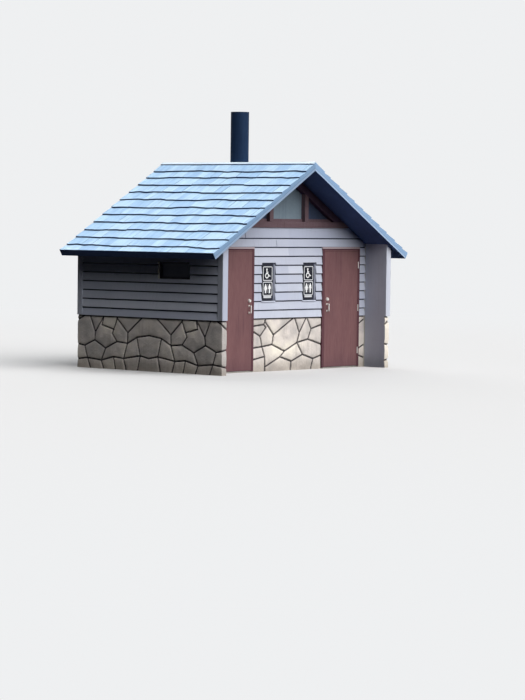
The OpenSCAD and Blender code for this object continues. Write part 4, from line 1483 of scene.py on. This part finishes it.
# %% Paint of the walls
board_paint = finish("board_paint", (198, 203, 217), (186, 191, 206), (132, 134, 144), rough=(0.65, 0.85),
                     fade=0.6, streak=0.12, splashed=0.5, grain_mm=0.7, grain_scale=45, groove=(48, 50, 70),
                     tones=((210, 215, 228), (182, 188, 207)), Specular_IOR_Level=0.05)
stone_paint = finish("stone_paint", (232, 223, 217), (205, 198, 190), (134, 122, 108), rough=(0.75, 0.9),
                     size=5.0, fade=0.7, streak=0.25, splashed=0.5, grain_mm=2.4, grain_scale=42,
                     groove=(58, 54, 57), tones=((250, 242, 228), (178, 174, 172)), Specular_IOR_Level=0.1)
inside_paint = finish("inside_paint", (200, 199, 193), (186, 184, 176), (150, 146, 136), rough=(0.5, 0.7),
                      fade=0.6, streak=0.12, splashed=0.35, grain_mm=0.3, grain_scale=70)
for piece in walls.values():
    for material in (board_paint, stone_paint, inside_paint):
        piece.data.materials.append(material)
print("finishes of a wall:", [m.name for m in walls["rear_wall"].data.materials])


# %% [markdown]
# The shakes are painted a pale blue that has worn to a deeper one in long patches down the slope. The two
# sloping front edges of the roof catch the light differently, so the right one is painted a paler blue as
# painted light, and each has a paler lower part. The soffit is the same paint in full shade, so it is
# painted a dark blue as painted shade.

# %% Paint of the roof
shake_paint = finish("shake_paint", (198, 230, 254), (140, 180, 224), (120, 142, 170), rough=(0.6, 0.8),
                     size=9.0, stretch=(0.28, 1.5, 0.28), fade=0.75, streak=0.0, grain_mm=1.5,
                     grain_scale=38, groove=(10, 30, 78), tones=((206, 234, 255), (152, 190, 230)),
                     Specular_IOR_Level=0.2)
edge_left = finish("roof_edge_left", (128, 157, 189), (119, 147, 178), (108, 134, 164), rough=(0.55, 0.75),
                   fade=0.6, streak=0.3, grain_mm=0.8, grain_scale=45,
                   band=("Roof depth", 0.078, (142, 164, 191)), Specular_IOR_Level=0.15)
edge_right_painted_light = finish("roof_edge_right", (143, 174, 209), (134, 164, 198), (122, 150, 182),
                    rough=(0.55, 0.75), fade=0.6, streak=0.3, grain_mm=0.8, grain_scale=45,
                    band=("Roof depth", 0.088, (168, 192, 222)), Specular_IOR_Level=0.15)
soffit_painted_shade = finish("soffit_painted_shade", (88, 108, 157), (77, 95, 140), (54, 63, 90), rough=(0.7, 0.85),
                      fade=0.7, streak=0.0, grain_mm=0.6, grain_scale=45, Specular_IOR_Level=0.05)
for side, edge_paint in ((-1, edge_left), (1, edge_right_painted_light)):
    for material in (shake_paint, edge_paint, soffit_painted_shade):
        bpy.data.objects[sided(side, "roof_shakes")].data.materials.append(material)


# %% [markdown]
# The gable's beam and posts are timber under brown paint. The mottling is stretched along the beam, because
# paint wears along the grain of wood. The slanted trims lie deep under the roof, and their brown is painted
# darker as painted shade.

# %% Timber of the gable
gable_brown = finish("gable_brown", (114, 94, 100), (102, 81, 87), (66, 50, 54), rough=(0.6, 0.8), size=3.0,
                     stretch=(1, 4, 4), fade=0.8, streak=0.3, grain_mm=0.9, grain_scale=55,
                     Specular_IOR_Level=0.15)
paint_nodes(gable_brown, "gable_beam", "gable_post_left", "gable_post_right")
trim_painted_shade = finish("trim_painted_shade", (90, 69, 88), (78, 60, 77), (54, 42, 54), rough=(0.6, 0.8), size=3.0,
                   stretch=(4, 4, 1), fade=0.8, streak=0.2, grain_mm=0.9, grain_scale=55,
                   Specular_IOR_Level=0.1)
paint_nodes(trim_painted_shade, "rake_trim_left", "rake_trim_right")
print("timber painted")


# %% [markdown]
# The doors are steel with a brown enamel, which shows faint upright streaks where water runs. Their frames
# are a darker brown, and the light catches the top of the frame's head, so that narrow face gets a pale
# band.

# %% Doors and door frames
door_brown = finish("door_brown", (123, 88, 89), (107, 75, 78), (84, 58, 66), rough=(0.55, 0.7), size=1.3,
                    stretch=(3, 3, 0.5), fade=0.8, streak=0.4, splashed=0.4, grain_mm=0.15, grain_scale=160,
                    groove=(66, 42, 48), Specular_IOR_Level=0.2)
for leaf in leaves:
    leaf.data.materials.append(door_brown)
frame_brown = finish("frame_brown", (95, 62, 69), (88, 57, 64), (72, 46, 56), rough=(0.55, 0.7), fade=0.7,
                     streak=0.3, splashed=0.4, grain_mm=0.15, grain_scale=160,
                     band=("Height", 2.078, (186, 168, 172)), Specular_IOR_Level=0.15)
paint_nodes(frame_brown, "left_door_frame", "right_door_frame")
print("doors painted:", len(leaves))


# %% [markdown]
# The panes are sheets that let little light through. The middle one of the gable is painted pale as
# painted light, and the outer ones dim as painted shade, where the roof shades them. The high side windows
# and their frames lie in the eave's shade and are painted nearly black as painted shade.

# %% Panes and windows
pane_painted_light = finish("pane_painted_light", (134, 151, 163), (119, 134, 147), (92, 102, 113), rough=(0.3, 0.5),
                   size=2.0, fade=0.8, streak=0.25, grain_mm=0.05, Specular_IOR_Level=0.1)
paint_nodes(pane_painted_light, "gable_pane_middle")
pane_painted_shade = finish("pane_painted_shade", (71, 82, 107), (60, 69, 89), (50, 55, 68), rough=(0.3, 0.5), size=2.0,
                  fade=0.8, streak=0.25, grain_mm=0.05, Specular_IOR_Level=0.05)
paint_nodes(pane_painted_shade, "gable_pane_left", "gable_pane_right")
window_frame_painted_shade = finish("window_frame_painted_shade", (20, 20, 28), (15, 15, 22), (28, 28, 34), rough=(0.6, 0.8), fade=0.8,
                      streak=0.3, grain_mm=0.2, Specular_IOR_Level=0.05)
paint_nodes(window_frame_painted_shade, "left_window_frame", "right_window_frame")
window_pane_painted_shade = finish("window_pane_painted_shade", (12, 16, 28), (16, 20, 32), (28, 30, 38), rough=(0.4, 0.55), fade=0.8,
                     streak=0.3, grain_mm=0.03, Specular_IOR_Level=0.05)
paint_nodes(window_pane_painted_shade, "left_window_pane", "right_window_pane")
print("panes painted")


# %% [markdown]
# The ridge cap is folded sheet in the roof's own pale paint. The stack is a black pipe that looks dark blue
# under the open sky, so it is painted dark blue as a painted reflection of the sky. Its flashing is a dull
# dark sheet.

# %% Ridge cap, stack and flashing
roof_metal = finish("ridge_paint", (226, 243, 255), (212, 231, 250), (166, 186, 210), rough=(0.45, 0.65),
                    size=2.0, fade=0.6, streak=0.2, grain_mm=0.3, Specular_IOR_Level=0.2)
paint_nodes(roof_metal, "ridge_cap")
# The stack's blue colour is a painted reflection of the sky on black pipe.
stack_black_painted_reflection = finish("stack_black_painted_reflection", (32, 50, 75), (26, 41, 64), (23, 32, 50), rough=(0.5, 0.65), size=2.0,
                     stretch=(2, 2, 0.4), fade=0.8, streak=0.3, grain_mm=0.12, grain_scale=140,
                     Specular_IOR_Level=0.05)
paint_nodes(stack_black_painted_reflection, "vent_stack")
flashing_dark = finish("flashing_dark", (52, 60, 78), (42, 50, 66), (70, 76, 88), rough=(0.5, 0.7),
                       fade=0.8, streak=0.4, grain_mm=0.2, Specular_IOR_Level=0.1)
paint_nodes(flashing_dark, "stack_flashing")
print("roof fittings painted")


# %% [markdown]
# Locks, pulls and hinges are satin steel. It is only partly set as metal, so that its own pale colour
# carries most of the look on pieces this small. The thresholds are mill aluminium and the floor is bare
# concrete.

# %% Fittings and floor slab
satin_steel = finish("satin_steel", (236, 234, 230), (216, 213, 208), (150, 142, 134), rough=(0.3, 0.45),
                     size=30, fade=0.7, streak=0.1, grain_mm=0.05, grain_scale=300, Metallic=0.35)
paint_nodes(satin_steel, "left_door_lock", "right_door_lock", "left_door_pull", "right_door_pull",
            "left_hinge_jamb_plates", "right_hinge_jamb_plates", "left_hinge_leaf_plates",
            "right_hinge_leaf_plates")
mill_aluminium = finish("mill_aluminium", (170, 170, 170), (146, 146, 146), (98, 92, 84),
                        rough=(0.35, 0.55), size=12, fade=0.9, streak=0.1, splashed=0.4, grain_mm=0.1,
                        Metallic=1.0)
paint_nodes(mill_aluminium, "left_threshold", "right_threshold")
bare_concrete = finish("bare_concrete", (158, 155, 148), (138, 134, 128), (106, 98, 88), rough=(0.7, 0.9),
                       size=3.0, fade=0.9, streak=0.0, grain_mm=0.8, grain_scale=90)
paint_nodes(bare_concrete, "floor_slab")
print("fittings painted")


# %% [markdown]
# The signs are dark boards with near black plates. The figures are a clean white, and the rims and the bare
# strip a duller one, because thin edges weather first.

# %% Paint of the signs
board_dark = finish("sign_board_paint", (46, 48, 58), (38, 40, 48), (66, 66, 74), rough=(0.6, 0.8), size=6,
                    fade=0.8, streak=0.3, grain_mm=0.1, Specular_IOR_Level=0.1)
paint_nodes(board_dark, "left_sign_board", "right_sign_board")
plaque_black = finish("plaque_black", (44, 46, 54), (36, 38, 46), (62, 64, 70), rough=(0.5, 0.65), size=8,
                      fade=0.8, streak=0.2, grain_mm=0.05, Specular_IOR_Level=0.05)
paint_nodes(plaque_black, "left_sign_plaques", "right_sign_plaques")
figure_white = finish("figure_white", (246, 247, 248), (234, 236, 238), (190, 190, 192), rough=(0.5, 0.65),
                      size=8, fade=0.6, streak=0.15, grain_mm=0.05)
strip_white = finish("strip_white", (222, 224, 228), (208, 210, 214), (158, 160, 164), rough=(0.5, 0.65),
                     size=8, fade=0.8, streak=0.3, grain_mm=0.05)
for piece in signs:
    piece.data.materials.append(figure_white if "figures" in piece.name else strip_white)
print("materials:", len(bpy.data.materials))


# %% [markdown]
